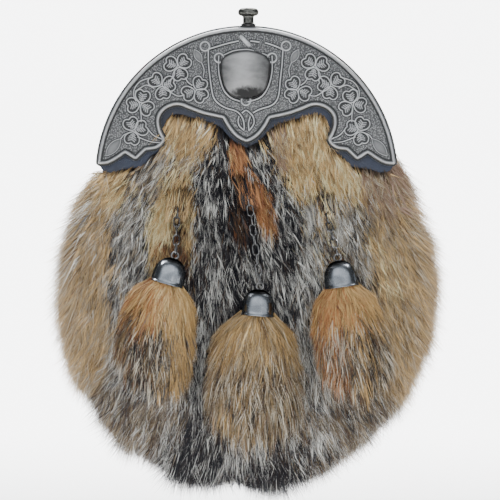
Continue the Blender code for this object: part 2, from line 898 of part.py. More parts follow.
def knob():
    """The turned finial and the collar that it stands on."""
    place = Vector((KNOB_X, (FIELD_Y + BOARD_BACK_Y) / 2, 0)) * MM
    head = turned("knob", KNOB_PROFILE, KNOB_SIDES, STEEL)
    top = COLLAR_FOOT_Z + COLLAR_HEIGHT
    steps = (
        TurnedStep(COLLAR_BORE_RADIUS, top),
        TurnedStep(COLLAR_TOP_RADIUS, top),
        TurnedStep(COLLAR_FOOT_RADIUS, COLLAR_FOOT_Z),
        TurnedStep(COLLAR_BORE_RADIUS, COLLAR_FOOT_Z),
    )
    collar = turned("knob_collar", steps, KNOB_SIDES, BLACKENED)
    head.location = place
    collar.location = place
    smooth_shade(head)
    smooth_shade(collar)


def flow(x, z):
    """The way the fur lies at a point of the front: down, and fanning out towards the sides."""
    turn = math.radians(FAN_DEG) * max(min(x / FAN_HALF_WIDTH, 1), -1)
    return Vector((math.sin(turn), -math.cos(turn)))


def reach_of(x, z):
    """How far a point of the front is from the middle, as a fraction of the pouch's radius there."""
    angle = math.degrees(math.atan2(x, z - MIDDLE_Z))
    return math.hypot(x, z - MIDDLE_Z) / radius_at(POUCH_OUTLINE, angle)


def front_point(x, z, lift):
    """A point over the front at a lift off the leather, past the shoulder at the shoulder's depth."""
    reach = min(reach_of(x, z), SHOULDER_REACH)
    return Vector((x, bowl_y(z, reach) - lift, z))


def front_normal(x, z):
    """The way out of the leather at a point of the front."""
    right = front_point(x + 1, z, 0) - front_point(x - 1, z, 0)
    up = front_point(x, z + 1, 0) - front_point(x, z - 1, 0)
    return right.cross(up).normalized()


def lock_rings(path, widths, thicknesses, normals=None):
    """Rings of a flattened lock along a path, whose broad side faces the front or the given normals."""
    rings = []
    for index, point in enumerate(path):
        before = path[max(index - 1, 0)]
        after = path[min(index + 1, len(path) - 1)]
        along = (after - before).normalized()
        facing = normals[index] if normals else Vector((0, -1, 0))
        across = along.cross(facing).normalized()
        out = across.cross(along).normalized()
        ring = []
        for side in range(LOCK_SIDES):
            turn = 2 * math.pi * side / LOCK_SIDES
            ring.append(
                point
                + across * widths[index] * math.cos(turn)
                + out * thicknesses[index] * math.sin(turn)
            )
        rings.append(ring)
    return rings


def board_edge_z(x):
    """The height of the board's lower edge at a distance from the middle."""
    heights = []
    for low, high in zip(BOARD_EDGE, BOARD_EDGE[1:]):
        if min(low.x, high.x) <= abs(x) <= max(low.x, high.x) and low.x != high.x:
            part = (abs(x) - low.x) / (high.x - low.x)
            heights.append(low.z + (high.z - low.z) * part)
    return min(heights, default=BOARD_EDGE[0].z)


def front_lock(name, x, z, length, width, collection):
    """A lock that follows the front of the coat down from its root."""
    spot = Vector((x, z))
    path = []
    normals = []
    walked = 0.0
    for station in LOCK_STATIONS:
        step = (station.along - walked) * length
        walked = station.along
        spot = spot + flow(spot.x, spot.y) * step
        normals.append(front_normal(spot.x, spot.y))
        path.append(front_point(spot.x, spot.y, 0) + normals[-1] * station.lift)
    widths = [station.girth * width / 2 for station in LOCK_STATIONS]
    thicknesses = [station.girth * LOCK_HALF_THICKNESS for station in LOCK_STATIONS]
    points, faces = loft(lock_rings(path, widths, thicknesses, normals))
    new_object(name, points, faces, None, collection)


def fringe_lock(name, angle, collection):
    """A lock that leaves the coat's edge and hangs down past it to the fur's outline."""
    side = math.sin(math.radians(angle))
    path = []
    for along in FRINGE_STATIONS:
        turned_angle = angle + FRINGE_SWEEP_DEG * side * abs(side) * along
        leather = radius_at(POUCH_OUTLINE, turned_angle)
        tip = radius_at(FUR_OUTLINE, turned_angle)
        radius = leather + FRINGE_ROOT + (tip - leather - FRINGE_ROOT) * along
        x, z = polar_point(turned_angle, radius)
        path.append(Vector((x, FRINGE_Y, z)))
    narrowing = (FRINGE_FOOT_HALF_WIDTH - FRINGE_SIDE_HALF_WIDTH) * abs(side)
    half_width = FRINGE_FOOT_HALF_WIDTH - narrowing
    widths = [half_width * girth for girth in FRINGE_GIRTHS]
    thicknesses = [FRINGE_HALF_THICKNESS * girth for girth in FRINGE_GIRTHS]
    points, faces = loft(lock_rings(path, widths, thicknesses))
    new_object(name, points, faces, None, collection)


def chain_line(tassel):
    """A chain's direction up from its cup, its first link's middle, its pitch and its staple's wire."""
    tilt = math.radians(tassel.tilt)
    axis = Vector((math.sin(tilt), 0, math.cos(tilt)))
    rim = Vector((tassel.rim_x, TASSEL_Y, tassel.rim_z))
    eye_wire = rim + axis * (CUP_PROFILE[0].height + EYE_LIFT + EYE_RADIUS)
    up = (Vector((tassel.aim_x, tassel.aim_y, tassel.aim_z)) - eye_wire).normalized()
    straight = (LINK_LENGTH - LINK_WIDTH) / 2
    pitch = LINK_LENGTH - 4 * LINK_WIRE + LINK_BITE
    first = eye_wire + up * (GAP + straight)
    last_end = first + up * (pitch * (tassel.links - 1) + LINK_LENGTH / 2 - LINK_WIRE)
    staple = last_end - up * (LINK_WIRE + STAPLE_WIRE + GAP)
    return up, first, pitch, staple


def backing_front_y(x, z):
    """The Y of the backing's front face."""
    return bowl_y(z, reach_of(x, z), GAP + BACKING_FRONT)


def fur_coat():
    """The pelt round the front and gusset, with its locks, cut clear of the board and the staples."""
    inner = bowl_rings(GAP, GAP, BACKING_REAR_Y)
    outer = bowl_rings(GAP + BACKING_FRONT, GAP + BACKING_SIDE, BACKING_REAR_Y)
    points, faces = loft(inner + outer[::-1])
    coat = new_object("fur_coat", points, faces, FUR)
    locks = helper_collection("fur_locks")
    for row_index, row in enumerate(LOCK_ROWS):
        for index in range(row.count):
            part = 2 * index / (row.count - 1) - 1
            x = part * row.half_span
            z = min(row.z - ROW_DROP * (index % 2), board_edge_z(x) - ROOT_BELOW_BOARD)
            front_lock(f"lock_{row_index}_{index}", x, z, row.length, row.width, locks)
    sweep = 180 - FRINGE_FIRST_ANGLE
    for index in range(FRINGE_LOCKS):
        angle = FRINGE_FIRST_ANGLE + 2 * sweep * index / (FRINGE_LOCKS - 1)
        fringe_lock(f"fringe_{index}", angle, locks)
    join_all(coat, locks)
    cut(coat, board_cutter())
    for tassel in TASSELS:
        staple = chain_line(tassel)[3]
        floor = backing_front_y(staple.x, staple.z) + POCKET_DEPTH
        middle = (staple.x, floor - POCKET_REACH / 2, staple.z)
        size = (2 * POCKET_HALF_SIDE, POCKET_REACH, 2 * POCKET_HALF_SIDE)
        cut(coat, box(f"pocket_{tassel.side}", middle, size))


def board_cutter():
    """The space over the fur's upper edge: the board, a little grown, and all that lies above it."""
    edge = smooth_edge(BOARD_EDGE, EDGE_STEP)[2:]
    corner = Vector((CUTTER_HALF_WIDTH, CUTTER_TOP_Z))
    tip = edge[0] + Vector((CUTTER_TIP, 0))
    side = [corner, Vector((CUTTER_HALF_WIDTH, tip.y)), tip]
    right = side + edge
    shape = right + [Vector((-point.x, point.y)) for point in reversed(right[:-1])]
    steps = ((-COAT_CLEARANCE, CUTTER_BACK_Y), (-COAT_CLEARANCE, CUTTER_FRONT_Y))
    points, faces = loft(plate_rings(shape, steps))
    return new_object("board_cutter", points, faces)


def chain_staple(tassel):
    """A wire staple that stands on the pelt and holds the top link."""
    staple = chain_line(tassel)[3]
    foot = backing_front_y(staple.x, staple.z) + POCKET_DEPTH - GAP
    half = STAPLE_HALF_WIDTH
    corner = STAPLE_CORNER
    path = (
        (staple.x - half, foot, staple.z),
        (staple.x - half, staple.y + corner, staple.z),
        (staple.x - half + corner, staple.y, staple.z),
        (staple.x + half - corner, staple.y, staple.z),
        (staple.x + half, staple.y + corner, staple.z),
        (staple.x + half, foot, staple.z),
    )
    points, faces = loft(wire_rings(path, STAPLE_WIRE, WIRE_SIDES))
    smooth_shade(new_object(f"chain_staple_{tassel.side}", points, faces, STEEL))


def link_path(middle, along, across):
    """The oval path of a link's wire."""
    half_width = LINK_WIDTH / 2 - LINK_WIRE
    straight = LINK_LENGTH / 2 - LINK_WIRE - half_width
    path = []
    for station in range(LINK_STATIONS):
        turn = 2 * math.pi * (station + 0.5) / LINK_STATIONS
        shift = straight if math.sin(turn) > 0 else -straight
        path.append(
            middle
            + across * half_width * math.cos(turn)
            + along * (half_width * math.sin(turn) + shift)
        )
    return path


def chain(tassel):
    """A fine chain: each link is turned a quarter from the last, and all are fused where they touch."""
    up, first, pitch, _ = chain_line(tassel)
    side = up.cross(Vector((0, 1, 0))).normalized()
    front = side.cross(up).normalized()
    links = helper_collection(f"links_{tassel.side}")
    whole = None
    for index in range(tassel.links):
        across = side if index % 2 else front
        path = link_path(first + up * pitch * index, up, across)
        points, faces = loft(wire_rings(path, LINK_WIRE, WIRE_SIDES, True), True)
        if index:
            new_object(f"link_{tassel.side}_{index}", points, faces, None, links)
        else:
            whole = new_object(f"chain_{tassel.side}", points, faces, STEEL)
    smooth_shade(whole, LINK_SHARP_DEG)
    join_all(whole, links)


def tassel_cone(tassel):
    """A hollow domed cup with a wire eye at its apex."""
    cup = turned(f"tassel_cone_{tassel.side}", CUP_PROFILE, CUP_SIDES, DARK_CHROME)
    eye_z = CUP_PROFILE[0].height + EYE_LIFT
    turns = [2 * math.pi * side / EYE_STATIONS for side in range(EYE_STATIONS)]
    path = [(EYE_RADIUS * math.cos(t), 0, eye_z + EYE_RADIUS * math.sin(t)) for t in turns]
    points, faces = loft(wire_rings(path, EYE_WIRE, WIRE_SIDES, True), True)
    eye = new_object(f"eye_{tassel.side}", points, faces)
    fuse = cup.modifiers.new("eye", "BOOLEAN")
    fuse.operation = "UNION"
    fuse.solver = "EXACT"
    fuse.object = eye
    for thing in (cup, eye):
        thing.location = Vector((tassel.rim_x, TASSEL_Y, tassel.rim_z)) * MM
        thing.rotation_euler = (0, math.radians(tassel.tilt), 0)
    smooth_shade(cup)


def hair_ring(middle, along, half_width, half_thickness):
    """An oval ring across the hair's run."""
    across = along.cross(Vector((0, -1, 0))).normalized() * half_width
    out = across.cross(along).normalized() * half_thickness
    turns = [2 * math.pi * side / HAIR_SIDES for side in range(HAIR_SIDES)]
    return [middle + across * math.cos(turn) + out * math.sin(turn) for turn in turns]


def hair_core(tassel, rim, end, down):
    """The tassel's head, inside the cup, and the body of hair that spreads below it."""
    top = hair_ring(rim - down * HEAD_TOP, down, HEAD_RADIUS - HEAD_TAPER, HEAD_RADIUS - HEAD_TAPER)
    rings = [top]
    for height in (HEAD_SHOULDER, 0):
        rings.append(hair_ring(rim - down * height, down, HEAD_RADIUS, HEAD_RADIUS))
    bend = rim + down * (end - rim).length * HAIR_BEND
    for station in HAIR_STATIONS:
        along = station.along
        middle = rim * (1 - along) ** 2 + bend * 2 * along * (1 - along) + end * along**2
        direction = ((bend - rim) * (1 - along) + (end - bend) * along).normalized()
        half_width = station.girth * tassel.half_spread
        rings.append(hair_ring(middle, direction, half_width, station.half_thickness))
    points, faces = loft(rings)
    return new_object(f"tassel_hair_{tassel.side}", points, faces, TASSEL_HAIR)


def tassel_hair(tassel):
    """The head inside the cup and the hair that spreads from it, in locks."""
    tilt = math.radians(tassel.tilt)
    down = Vector((-math.sin(tilt), 0, -math.cos(tilt)))
    rim = Vector((tassel.rim_x, TASSEL_Y, tassel.rim_z))
    end = Vector((tassel.end_x, TASSEL_Y, tassel.end_z))
    hair = hair_core(tassel, rim, end, down)
    locks = helper_collection(f"hair_locks_{tassel.side}")
    half_width = tassel.half_spread * HAIR_LOCK_HALF_WIDTH
    widths = [half_width * station.girth for station in HAIR_LOCK_STATIONS]
    thicknesses = [HAIR_LOCK_HALF_THICKNESS * station.girth for station in HAIR_LOCK_STATIONS]
    for index in range(HAIR_LOCKS):
        part = 2 * index / (HAIR_LOCKS - 1) - 1
        reach = 1 - SIDE_LOCK_SHORTER * abs(part) - NEXT_LOCK_SHORTER * (index % 2)
        path = []
        for station in HAIR_LOCK_STATIONS:
            spread = part * tassel.half_spread * HAIR_LOCK_SPAN
            aside = spread * math.sin(station.along * math.pi / 2)
            middle = rim + (end - rim) * station.along * reach
            path.append(middle + Vector((aside, -HAIR_LOCK_LIFT * station.lift, 0)))
        points, faces = loft(lock_rings(path, widths, thicknesses))
        new_object(f"hair_{tassel.side}_{index}", points, faces, None, locks)
    join_all(hair, locks)


def build():
    """Makes every piece of the sporran."""
    clear_scene()
    pouch_wall()
    back_panel()
    belt_loop("left", -1)
    belt_loop("right", 1)
    cantle_board()
    cantle()
    knob()
    fur_coat()
    for tassel in TASSELS:
        chain_staple(tassel)
        chain(tassel)
        tassel_cone(tassel)
        tassel_hair(tassel)


build()
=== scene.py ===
"""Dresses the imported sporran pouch: cast cantle, leathers, long fur, chains and tassels.

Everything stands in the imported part's frame: the front faces -Y, +X is the viewer's right and +Z is
up. Lengths in the tables are millimetres and angles are degrees; meshes are in metres.
"""

import logging
import math
from contextlib import contextmanager
from dataclasses import dataclass, field
from enum import Enum
from typing import Iterator, NamedTuple, Sequence

import bpy
import numpy as np
from mathutils import Matrix, Vector


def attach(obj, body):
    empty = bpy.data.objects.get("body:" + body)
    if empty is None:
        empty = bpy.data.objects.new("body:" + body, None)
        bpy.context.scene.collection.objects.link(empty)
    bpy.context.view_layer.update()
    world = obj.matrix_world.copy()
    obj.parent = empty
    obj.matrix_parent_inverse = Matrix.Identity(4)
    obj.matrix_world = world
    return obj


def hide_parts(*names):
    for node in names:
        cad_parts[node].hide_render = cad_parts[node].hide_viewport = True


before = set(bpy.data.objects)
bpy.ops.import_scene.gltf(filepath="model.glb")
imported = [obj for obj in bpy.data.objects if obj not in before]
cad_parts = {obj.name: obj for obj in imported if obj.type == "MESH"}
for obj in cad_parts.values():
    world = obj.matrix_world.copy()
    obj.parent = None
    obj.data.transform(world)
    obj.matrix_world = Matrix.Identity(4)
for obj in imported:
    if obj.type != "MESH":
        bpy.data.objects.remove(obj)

MM = 0.001
BODY = "root"
LOG = logging.getLogger("sporran")

Array = np.ndarray
Object = bpy.types.Object
Material = bpy.types.Material
Socket = bpy.types.NodeSocket
Triple = tuple[float, float, float]
Colour = Triple
Stops = tuple[tuple[float, float], ...]
Value = Socket | float
Paint = Socket | Colour


# ---------------------------------------------------------------- tables


class Edge(NamedTuple):
    """A point of an outline's right half, where a corner keeps its point."""

    x: float
    z: float
    corner: bool = False


class RimStep(NamedTuple):
    """A step inwards over the rim, and the height over the field that it reaches."""

    inward: float
    height: float


class Shamrock(NamedTuple):
    """A shamrock's hub and the directions of its leaves, counted anticlockwise from +X."""

    x: float
    z: float
    leaves: Triple


class Bud(NamedTuple):
    """A bud's foot and tip, and its width."""

    foot: tuple[float, float]
    tip: tuple[float, float]
    width: float


class Ridge(NamedTuple):
    """A raised line of the casting: its path, its size over a full line, and how far it is lifted."""

    path: list
    size: float
    closed: bool = False
    lift: float = 0.0


class TurnedStep(NamedTuple):
    """A step of a turned profile."""

    radius: float
    height: float


class FlowRow(NamedTuple):
    """The lie of the fur at a spot of the front, counted from straight down towards +X."""

    x: float
    z: float
    lean: float


class Lump(NamedTuple):
    """Where the fur's edge stands out or in: its angle clockwise from the top, half width and size."""

    angle: float
    half: float
    size: float


class TasselRow(NamedTuple):
    """A cup's rim centre and tilt, the end and spread of its hair, and its chain."""

    side: str
    rim_x: float
    rim_z: float
    tilt: float
    end_x: float
    end_z: float
    half_spread: float
    links: int
    aim: Triple


def rows(kind: type, *values: tuple) -> tuple:
    """A table of rows, which have the columns of their kind."""
    return tuple(kind(*value) for value in values)


CANTLE_EDGE = rows(
    Edge, (74.4, -18.9, True), (69.1, -18.4), (64.4, -15.9), (60.6, -13.2, True), (55.3, -16.7, True),
    (50.1, -11.7, True), (45.3, -11.0), (42.0, -8.9), (40.2, -5.8, True), (42.5, -1.9), (43.5, 2.5),
    (42.8, 6.1), (40.1, 9.0), (36.2, 10.6), (32.6, 10.5), (28.8, 9.0), (21.4, 6.3), (11.9, 4.2, True),
    (9.4, -0.2), (5.4, -4.9), (0.0, -8.0, True))
BOARD_EDGE = rows(
    Edge, (73.6, -19.2, True), (71.5, -22.0), (66.4, -22.6), (61.9, -21.2), (55.0, -20.2), (51.0, -18.7),
    (48.0, -14.8), (43.6, -11.8), (39.4, -7.6), (40.2, -1.4), (40.4, 2.5), (38.2, 5.5), (33.8, 6.5),
    (25.8, 4.4), (20.8, 3.1), (13.8, 0.4), (6.7, -6.6), (0.0, -10.4, True))
CASTING_RIM = rows(RimStep, (0.0, -0.2), (0.08, -0.04), (0.14, 0.0))
BOARD_RIM = rows(RimStep, (0.0, -0.5), (0.1, -0.24), (0.16, -0.08), (0.24, 0.0))
PANEL_RIM = rows(RimStep, (0.0, -0.8), (0.12, -0.42), (0.26, -0.15), (0.42, 0.0))
SHAMROCKS = rows(
    Shamrock, (-34.2, 30.2, (160, 42, 285)), (-42.6, 20.8, (137, 12, 280)), (-25.6, 18.6, (55, 205, 315)),
    (-53.0, 11.7, (75, 190, 325)), (-56.2, -1.9, (115, 20, 255)))
# Half a leaf from its hub, in parts of its length and width, and where its midrib and its veins lie.
LEAF_OUTLINE = ((0.08, 0.06), (0.2, 0.27), (0.42, 0.47), (0.7, 0.52), (0.93, 0.4), (1.0, 0.2), (0.9, 0.0))
LEAF_RIB = (0.2, 0.45, 0.7)
LEAF_VEINS = ((0.2, 0.17), (0.35, 0.26), (0.5, 0.3), (0.64, 0.26))
BUDS = rows(Bud, ((-22.4, 32.2), (-26.1, 38.8), 3.4), ((-62.8, -5.8), (-70.4, -14.4), 4.6))
# The casting's lines. Shamrocks, buds and stems are those of one half, which the other mirrors.
STEMS = (
    ((-22.4, 32.2), (-21.2, 28.6), (-21.7, 25.2)),
    ((-30.7, 24.7), (-29.2, 22.4), (-27.0, 20.8)),
    ((-36.0, 28.8), (-36.2, 25.7), (-39.0, 22.6)),
    ((-39.2, 18.3), (-34.7, 15.6), (-31.2, 15.9)),
    ((-53.2, 8.9), (-52.7, 5.5), (-52.7, 2.5)),
    ((-48.8, 24.5), (-53.2, 22.8), (-56.0, 19.3), (-56.4, 15.8), (-55.2, 12.9)),
    ((-46.1, 19.3), (-48.6, 20.6), (-51.0, 20.8), (-55.7, 17.8)),
    ((-49.6, -0.6), (-46.6, -4.0), (-42.1, -6.1)),
    ((-54.5, -4.9), (-48.0, -7.3), (-41.6, -7.8)),
    ((-62.8, -5.8), (-61.4, -4.0), (-59.0, -2.9)),
)
FRAME_LINES = (
    ((-19.1, 38.7), (-19.0, 31.9), (-18.1, 23.6), (-16.6, 15.3), (-13.7, 11.6), (-10.0, 9.5), (-5.9, 8.3),
     (-3.4, 6.6), (-1.7, 3.7), (-1.1, 0.0), (-1.3, -1.6)),
    ((18.2, 38.7), (17.8, 31.9), (16.9, 23.6), (16.1, 16.2), (14.4, 12.4), (11.5, 10.4), (6.6, 8.9),
     (3.3, 7.2)),
    ((-18.7, 39.1), (-10.0, 41.7), (-3.9, 43.1)),
    ((2.0, 43.1), (6.5, 42.5)),
    ((9.4, 42.2), (13.9, 40.7), (18.2, 38.8)),
    ((-11.3, 36.0), (-6.3, 38.1), (-0.1, 38.8), (3.7, 38.2)),
    ((7.8, 36.9), (10.9, 35.6)),
    ((-13.9, 35.6), (-13.9, 28.6), (-12.9, 22.8), (-10.9, 17.8), (-7.5, 14.5), (-3.2, 12.9)),
    ((12.8, 35.6), (12.8, 28.6), (11.7, 22.8), (9.7, 18.0), (6.3, 14.5), (0.6, 12.6)),
)
KNOT_LOOPS = (
    ((-2.3, 7.0), (-0.5, 8.3), (1.2, 7.6), (3.2, 5.4), (3.8, 2.5), (2.8, 0.0), (1.2, -1.8)),
    ((-3.8, 5.4), (-4.2, 2.9), (-3.4, 0.4), (-1.3, -1.6)),
    ((1.8, 5.2), (1.0, 2.0), (1.2, -1.8)),
)
# The middles of the small rings, the bar's ends, and its half widths along its length.
RINGS = ((-20.8, 40.4), (19.8, 40.6), (-13.7, 34.6), (12.8, 34.6), (-0.3, 13.2))
BAR = ((-3.3, 45.7), (1.8, 40.5))
BAR_HALF_WIDTHS = ((0.0, 0.35), (0.12, 1.0), (0.88, 1.1), (1.0, 0.4))
DOME_OUTLINE = (
    (-13.0, 33.4), (-13.2, 29.0), (-12.2, 23.4), (-10.2, 18.4), (-6.8, 15.2), (-0.5, 13.9), (5.7, 15.2),
    (9.1, 18.4), (11.0, 23.4), (12.0, 29.0), (11.8, 33.4), (9.4, 36.0), (5.0, 37.8), (-0.5, 38.4),
    (-6.2, 37.5), (-10.6, 35.8), (-13.0, 33.4),
)
# The rings of the dome's mesh, in parts of its outline.
DOME_RINGS = (1.0, 0.97, 0.92, 0.85, 0.76, 0.66, 0.55, 0.42, 0.28, 0.14)

# The radii of the leather and of the fur about the pouch's middle, at angles from straight up.
OUTLINE_ANGLES = range(60, 181, 15)
POUCH_OUTLINE = (82.8, 79.5, 82.0, 87.0, 93.5, 98.0, 103.0, 108.5, 110.0)
FUR_OUTLINE = (87.0, 91.5, 97.0, 101.5, 106.5, 112.0, 116.5, 121.5, 124.5)
FLOW_ROWS = rows(
    FlowRow, (-30, 2, -14), (-32, -18, -22), (-46, -22, -38), (-60, -30, -36), (-76, -28, -30),
    (-56, -52, -26), (-42, -52, -8), (-30, -48, 2), (-74, -62, -22), (-84, -90, -16), (-62, -90, -14),
    (-84, -130, -30), (-60, -140, -24), (-36, -110, -6), (-32, -165, -20), (-10, -40, 4), (-14, -90, 2),
    (-12, -140, -2), (0, -172, 4), (8, -22, 26), (18, -46, 24), (16, -78, 10), (18, -120, 4), (30, -6, 6),
    (36, -34, 8), (50, -30, 8), (54, -58, 20), (40, -90, 12), (68, -32, 24), (82, -50, 30), (76, -84, 22),
    (88, -110, 18), (70, -130, 26), (50, -120, 14), (54, -155, 26), (28, -165, 16))
FLOW_SIGMA = 13.0
# The waves of the fringe's edge: their size, how many go round, and where they start.
RAGGED = ((1.2, 17, 0.4), (0.9, 29, 2.0), (0.8, 43, 5.0))
LUMPS = rows(
    Lump, (74, 15, 2.6), (150, 9, -2.0), (170, 6, 1.0), (183.2, 5, -6.0), (196, 6, 2.0), (214, 5, 3.6),
    (247, 10, 2.0), (298, 6, -2.5))

TASSEL_Y = -50.0
TASSELS = rows(
    TasselRow,
    ("left", -39.2, -78.2, 16.0, -47.0, -137.5, 20.0, 5, (-34.3, -30.5, -33.0)),
    ("center", 5.3, -93.9, 5.0, 3.0, -165.0, 24.0, 9, (0.3, -29.5, -30.0)),
    ("right", 46.9, -79.7, -8.0, 57.5, -139.0, 18.5, 5, (39.5, -33.5, -43.0)))
CUP_PROFILE = rows(
    TurnedStep, (0.0, 13.2), (1.4, 13.1), (2.8, 12.75), (4.2, 12.1), (5.5, 11.1), (6.6, 9.7), (7.4, 8.0),
    (7.85, 6.2), (8.05, 4.4), (8.12, 2.4), (8.2, 1.3), (8.5, 0.7), (8.8, 0.35), (8.82, 0.05), (8.6, -0.02),
    (7.9, 0.3), (7.6, 2.0), (7.3, 5.6), (6.0, 9.0), (3.0, 11.5), (0.0, 12.2))
KNOB_PROFILE = rows(
    TurnedStep, (0.0, 59.7), (2.4, 59.66), (3.7, 59.5), (4.5, 59.15), (5.0, 58.5), (5.18, 57.8),
    (5.1, 57.0), (4.75, 56.4), (4.1, 55.95), (3.1, 55.7), (2.8, 55.4), (2.7, 54.8), (2.7, 52.4),
    (2.95, 52.05), (1.75, 52.0), (1.75, 50.6), (0.0, 50.6))
COLLAR_PROFILE = rows(
    TurnedStep, (2.1, 51.75), (3.3, 51.8), (3.65, 51.6), (3.72, 51.2), (3.4, 50.8), (3.15, 50.35),
    (2.1, 50.3))
# Half of a belt loop's line, from its end to its middle: the distance off the back and the height.
LOOP_SIDE = ((-1.7, 21.5), (-1.7, 16.6), (-1.2, 15.4), (3.1, 12.0), (3.9, 10.6), (4.0, 9.0))


# ---------------------------------------------------------------- small tools


def select_only(*things: Object) -> None:
    """Selects these objects alone and makes the first one active.

    Args:
        things: the objects.
    """
    bpy.ops.object.select_all(action="DESELECT")
    for thing in things:
        thing.select_set(True)
    bpy.context.view_layer.objects.active = things[0]


@contextmanager
def editing(thing: Object) -> Iterator[None]:
    """Opens a mesh for editing with all of it selected.

    Args:
        thing: the mesh.
    """
    select_only(thing)
    bpy.ops.object.mode_set(mode="EDIT")
    bpy.ops.mesh.select_all(action="SELECT")
    yield
    bpy.ops.object.mode_set(mode="OBJECT")


def add_object(name: str, data: bpy.types.ID) -> Object:
    """Puts a mesh, curve, lamp or camera into the scene.

    Args:
        name: the object's name.
        data: what it shows.

    Returns:
        The object.
    """
    thing = bpy.data.objects.new(name, data)
    bpy.context.scene.collection.objects.link(thing)
    return thing


def mesh_object(name: str, points: Sequence, faces: Sequence, edges: Sequence = ()) -> Object:
    """Makes a mesh object from points in millimetres.

    Args:
        name: the object's name.
        points: its corners.
        faces: each face's corners, by number.
        edges: loose edges, by number.

    Returns:
        The object.
    """
    mesh = bpy.data.meshes.new(name)
    places = (np.asarray(points, float) * MM).tolist()
    mesh.from_pydata(places, list(edges), [list(face) for face in faces])
    return add_object(name, mesh)


def apply_modifiers(thing: Object) -> None:
    """Applies every modifier of a piece, in order.

    Args:
        thing: the piece.
    """
    select_only(thing)
    for modifier in list(thing.modifiers):
        bpy.ops.object.modifier_apply(modifier=modifier.name)


def join_pieces(name: str, things: Sequence[Object]) -> Object:
    """Joins meshes into one piece, of which the first takes in the others.

    Args:
        name: the whole piece's name.
        things: the meshes.

    Returns:
        The whole piece.
    """
    select_only(*things)
    bpy.ops.object.join()
    whole = bpy.context.view_layer.objects.active
    whole.name = whole.data.name = name
    return whole


def face_outwards(thing: Object) -> None:
    """Merges doubles and turns a closed mesh's faces outwards.

    Args:
        thing: the mesh.
    """
    with editing(thing):
        bpy.ops.mesh.remove_doubles(threshold=1e-7)
        bpy.ops.mesh.normals_make_consistent(inside=False)


def finish_piece(thing: Object, material: Material, replaces: Sequence[str] = (),
                 smooth_deg: float | None = 35.0) -> None:
    """Gives a piece its finish, puts its place into its mesh and lets it ride on the body.

    Args:
        thing: the finished mesh.
        material: its finish.
        replaces: the CAD nodes that the piece stands for.
        smooth_deg: the sharpest angle that is shaded smooth, or None to leave the shading.
    """
    select_only(thing)
    bpy.ops.object.transform_apply(location=True, rotation=True, scale=True)
    if smooth_deg is not None:
        bpy.ops.object.shade_smooth_by_angle(angle=math.radians(smooth_deg))
    if not thing.data.materials:
        thing.data.materials.append(material)
    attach(thing, BODY)
    if replaces:
        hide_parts(*replaces)
    LOG.info("%s: %d faces", thing.name, len(thing.data.polygons))


def turns(count: int, shift: float = 0.0) -> list[float]:
    """The angles of points spaced evenly round a circle."""
    return [2 * math.pi * (side + shift) / count for side in range(count)]


def smooth_curve(points: Sequence[Sequence[float]], step: float) -> list[Vector]:
    """Points about a step apart on the Catmull-Rom curve through the given ones.

    Args:
        points: the given points.
        step: the distance between the curve's points.

    Returns:
        The curve's points.
    """
    knots = [Vector(point) for point in points]
    ends = [2 * knots[0] - knots[1], *knots, 2 * knots[-1] - knots[-2]]
    found = []
    for p0, p1, p2, p3 in zip(ends, ends[1:], ends[2:], ends[3:]):
        pieces = max(1, round((p2 - p1).length / step))
        for t in (piece / pieces for piece in range(pieces)):
            bend = (2 * p0 - 5 * p1 + 4 * p2 - p3) * t**2 + (3 * p1 - p0 - 3 * p2 + p3) * t**3
            found.append(0.5 * (2 * p1 + (p2 - p0) * t + bend))
    return [*found, knots[-1]]


def plate_outline(edge: Sequence[Edge], radius: float, centre_z: float, step: float) -> list[Vector]:
    """The closed outline of a plate: a lower edge, mirrored, and the arc over its top.

    Args:
        edge: the lower edge's right half, from the tip to the middle.
        radius: the arc's radius.
        centre_z: the height of the arc's centre.
        step: the distance between the outline's points.

    Returns:
        The outline's points, as X and Z.
    """
    right: list[Vector] = []
    run = [(edge[0].x, edge[0].z)]
    for row in edge[1:]:
        run.append((row.x, row.z))
        if row.corner:
            right += smooth_curve(run, step)[:-1]
            run = run[-1:]
    right.append(Vector(run[0]))
    lower = right + [Vector((-point.x, point.y)) for point in reversed(right[:-1])]
    tip = math.atan2(edge[0].z - centre_z, edge[0].x)
    sweep = math.pi - 2 * tip
    pieces = round(sweep * radius / step)
    arc = [math.pi - tip - sweep * piece / pieces for piece in range(1, pieces)]
    return lower + [Vector((radius * math.cos(turn), centre_z + radius * math.sin(turn))) for turn in arc]


def inset_path(outline: Sequence[Vector], inset: float) -> list[Vector]:
    """A closed outline moved inwards, without the loops that its corners would make.

    Args:
        outline: the outline's points.
        inset: how far it is moved.

    Returns:
        The points that are left.
    """
    points = np.array([tuple(point) for point in outline])
    before, after = np.roll(points, 1, 0), np.roll(points, -1, 0)
    area = np.sum(points[:, 0] * after[:, 1] - after[:, 0] * points[:, 1])
    along = after - before
    along /= np.linalg.norm(along, axis=1, keepdims=True)
    inwards = np.stack([-along[:, 1], along[:, 0]], 1) * np.sign(area)
    spans = after - points
    length = np.sum(spans * spans, axis=1)
    kept = []
    for spot in points + inwards * inset:
        part = np.clip(np.sum((spot - points) * spans, axis=1) / length, 0, 1)
        away = np.linalg.norm(points + spans * part[:, None] - spot, axis=1).min()
        if away > inset * 0.94:
            kept.append(Vector(spot))
    return kept


def flat_disc(name: str, outline: Sequence[Vector], y: float) -> Object:
    """A filled circle whose rim is moved to an outline, facing the front.

    Args:
        name: the disc's name.
        outline: its rim, as X and Z.
        y: its place in depth.

    Returns:
        The disc.
    """
    bpy.ops.object.select_all(action="DESELECT")
    bpy.ops.mesh.primitive_circle_add(vertices=len(outline), radius=1, fill_type="NGON")
    disc = bpy.context.active_object
    disc.name = name
    for vertex, point in zip(disc.data.vertices, outline):
        vertex.co = (point.x * MM, y * MM, point.y * MM)
    disc.data.update()
    if disc.data.polygons[0].normal.y > 0:
        disc.data.flip_normals()
    return disc


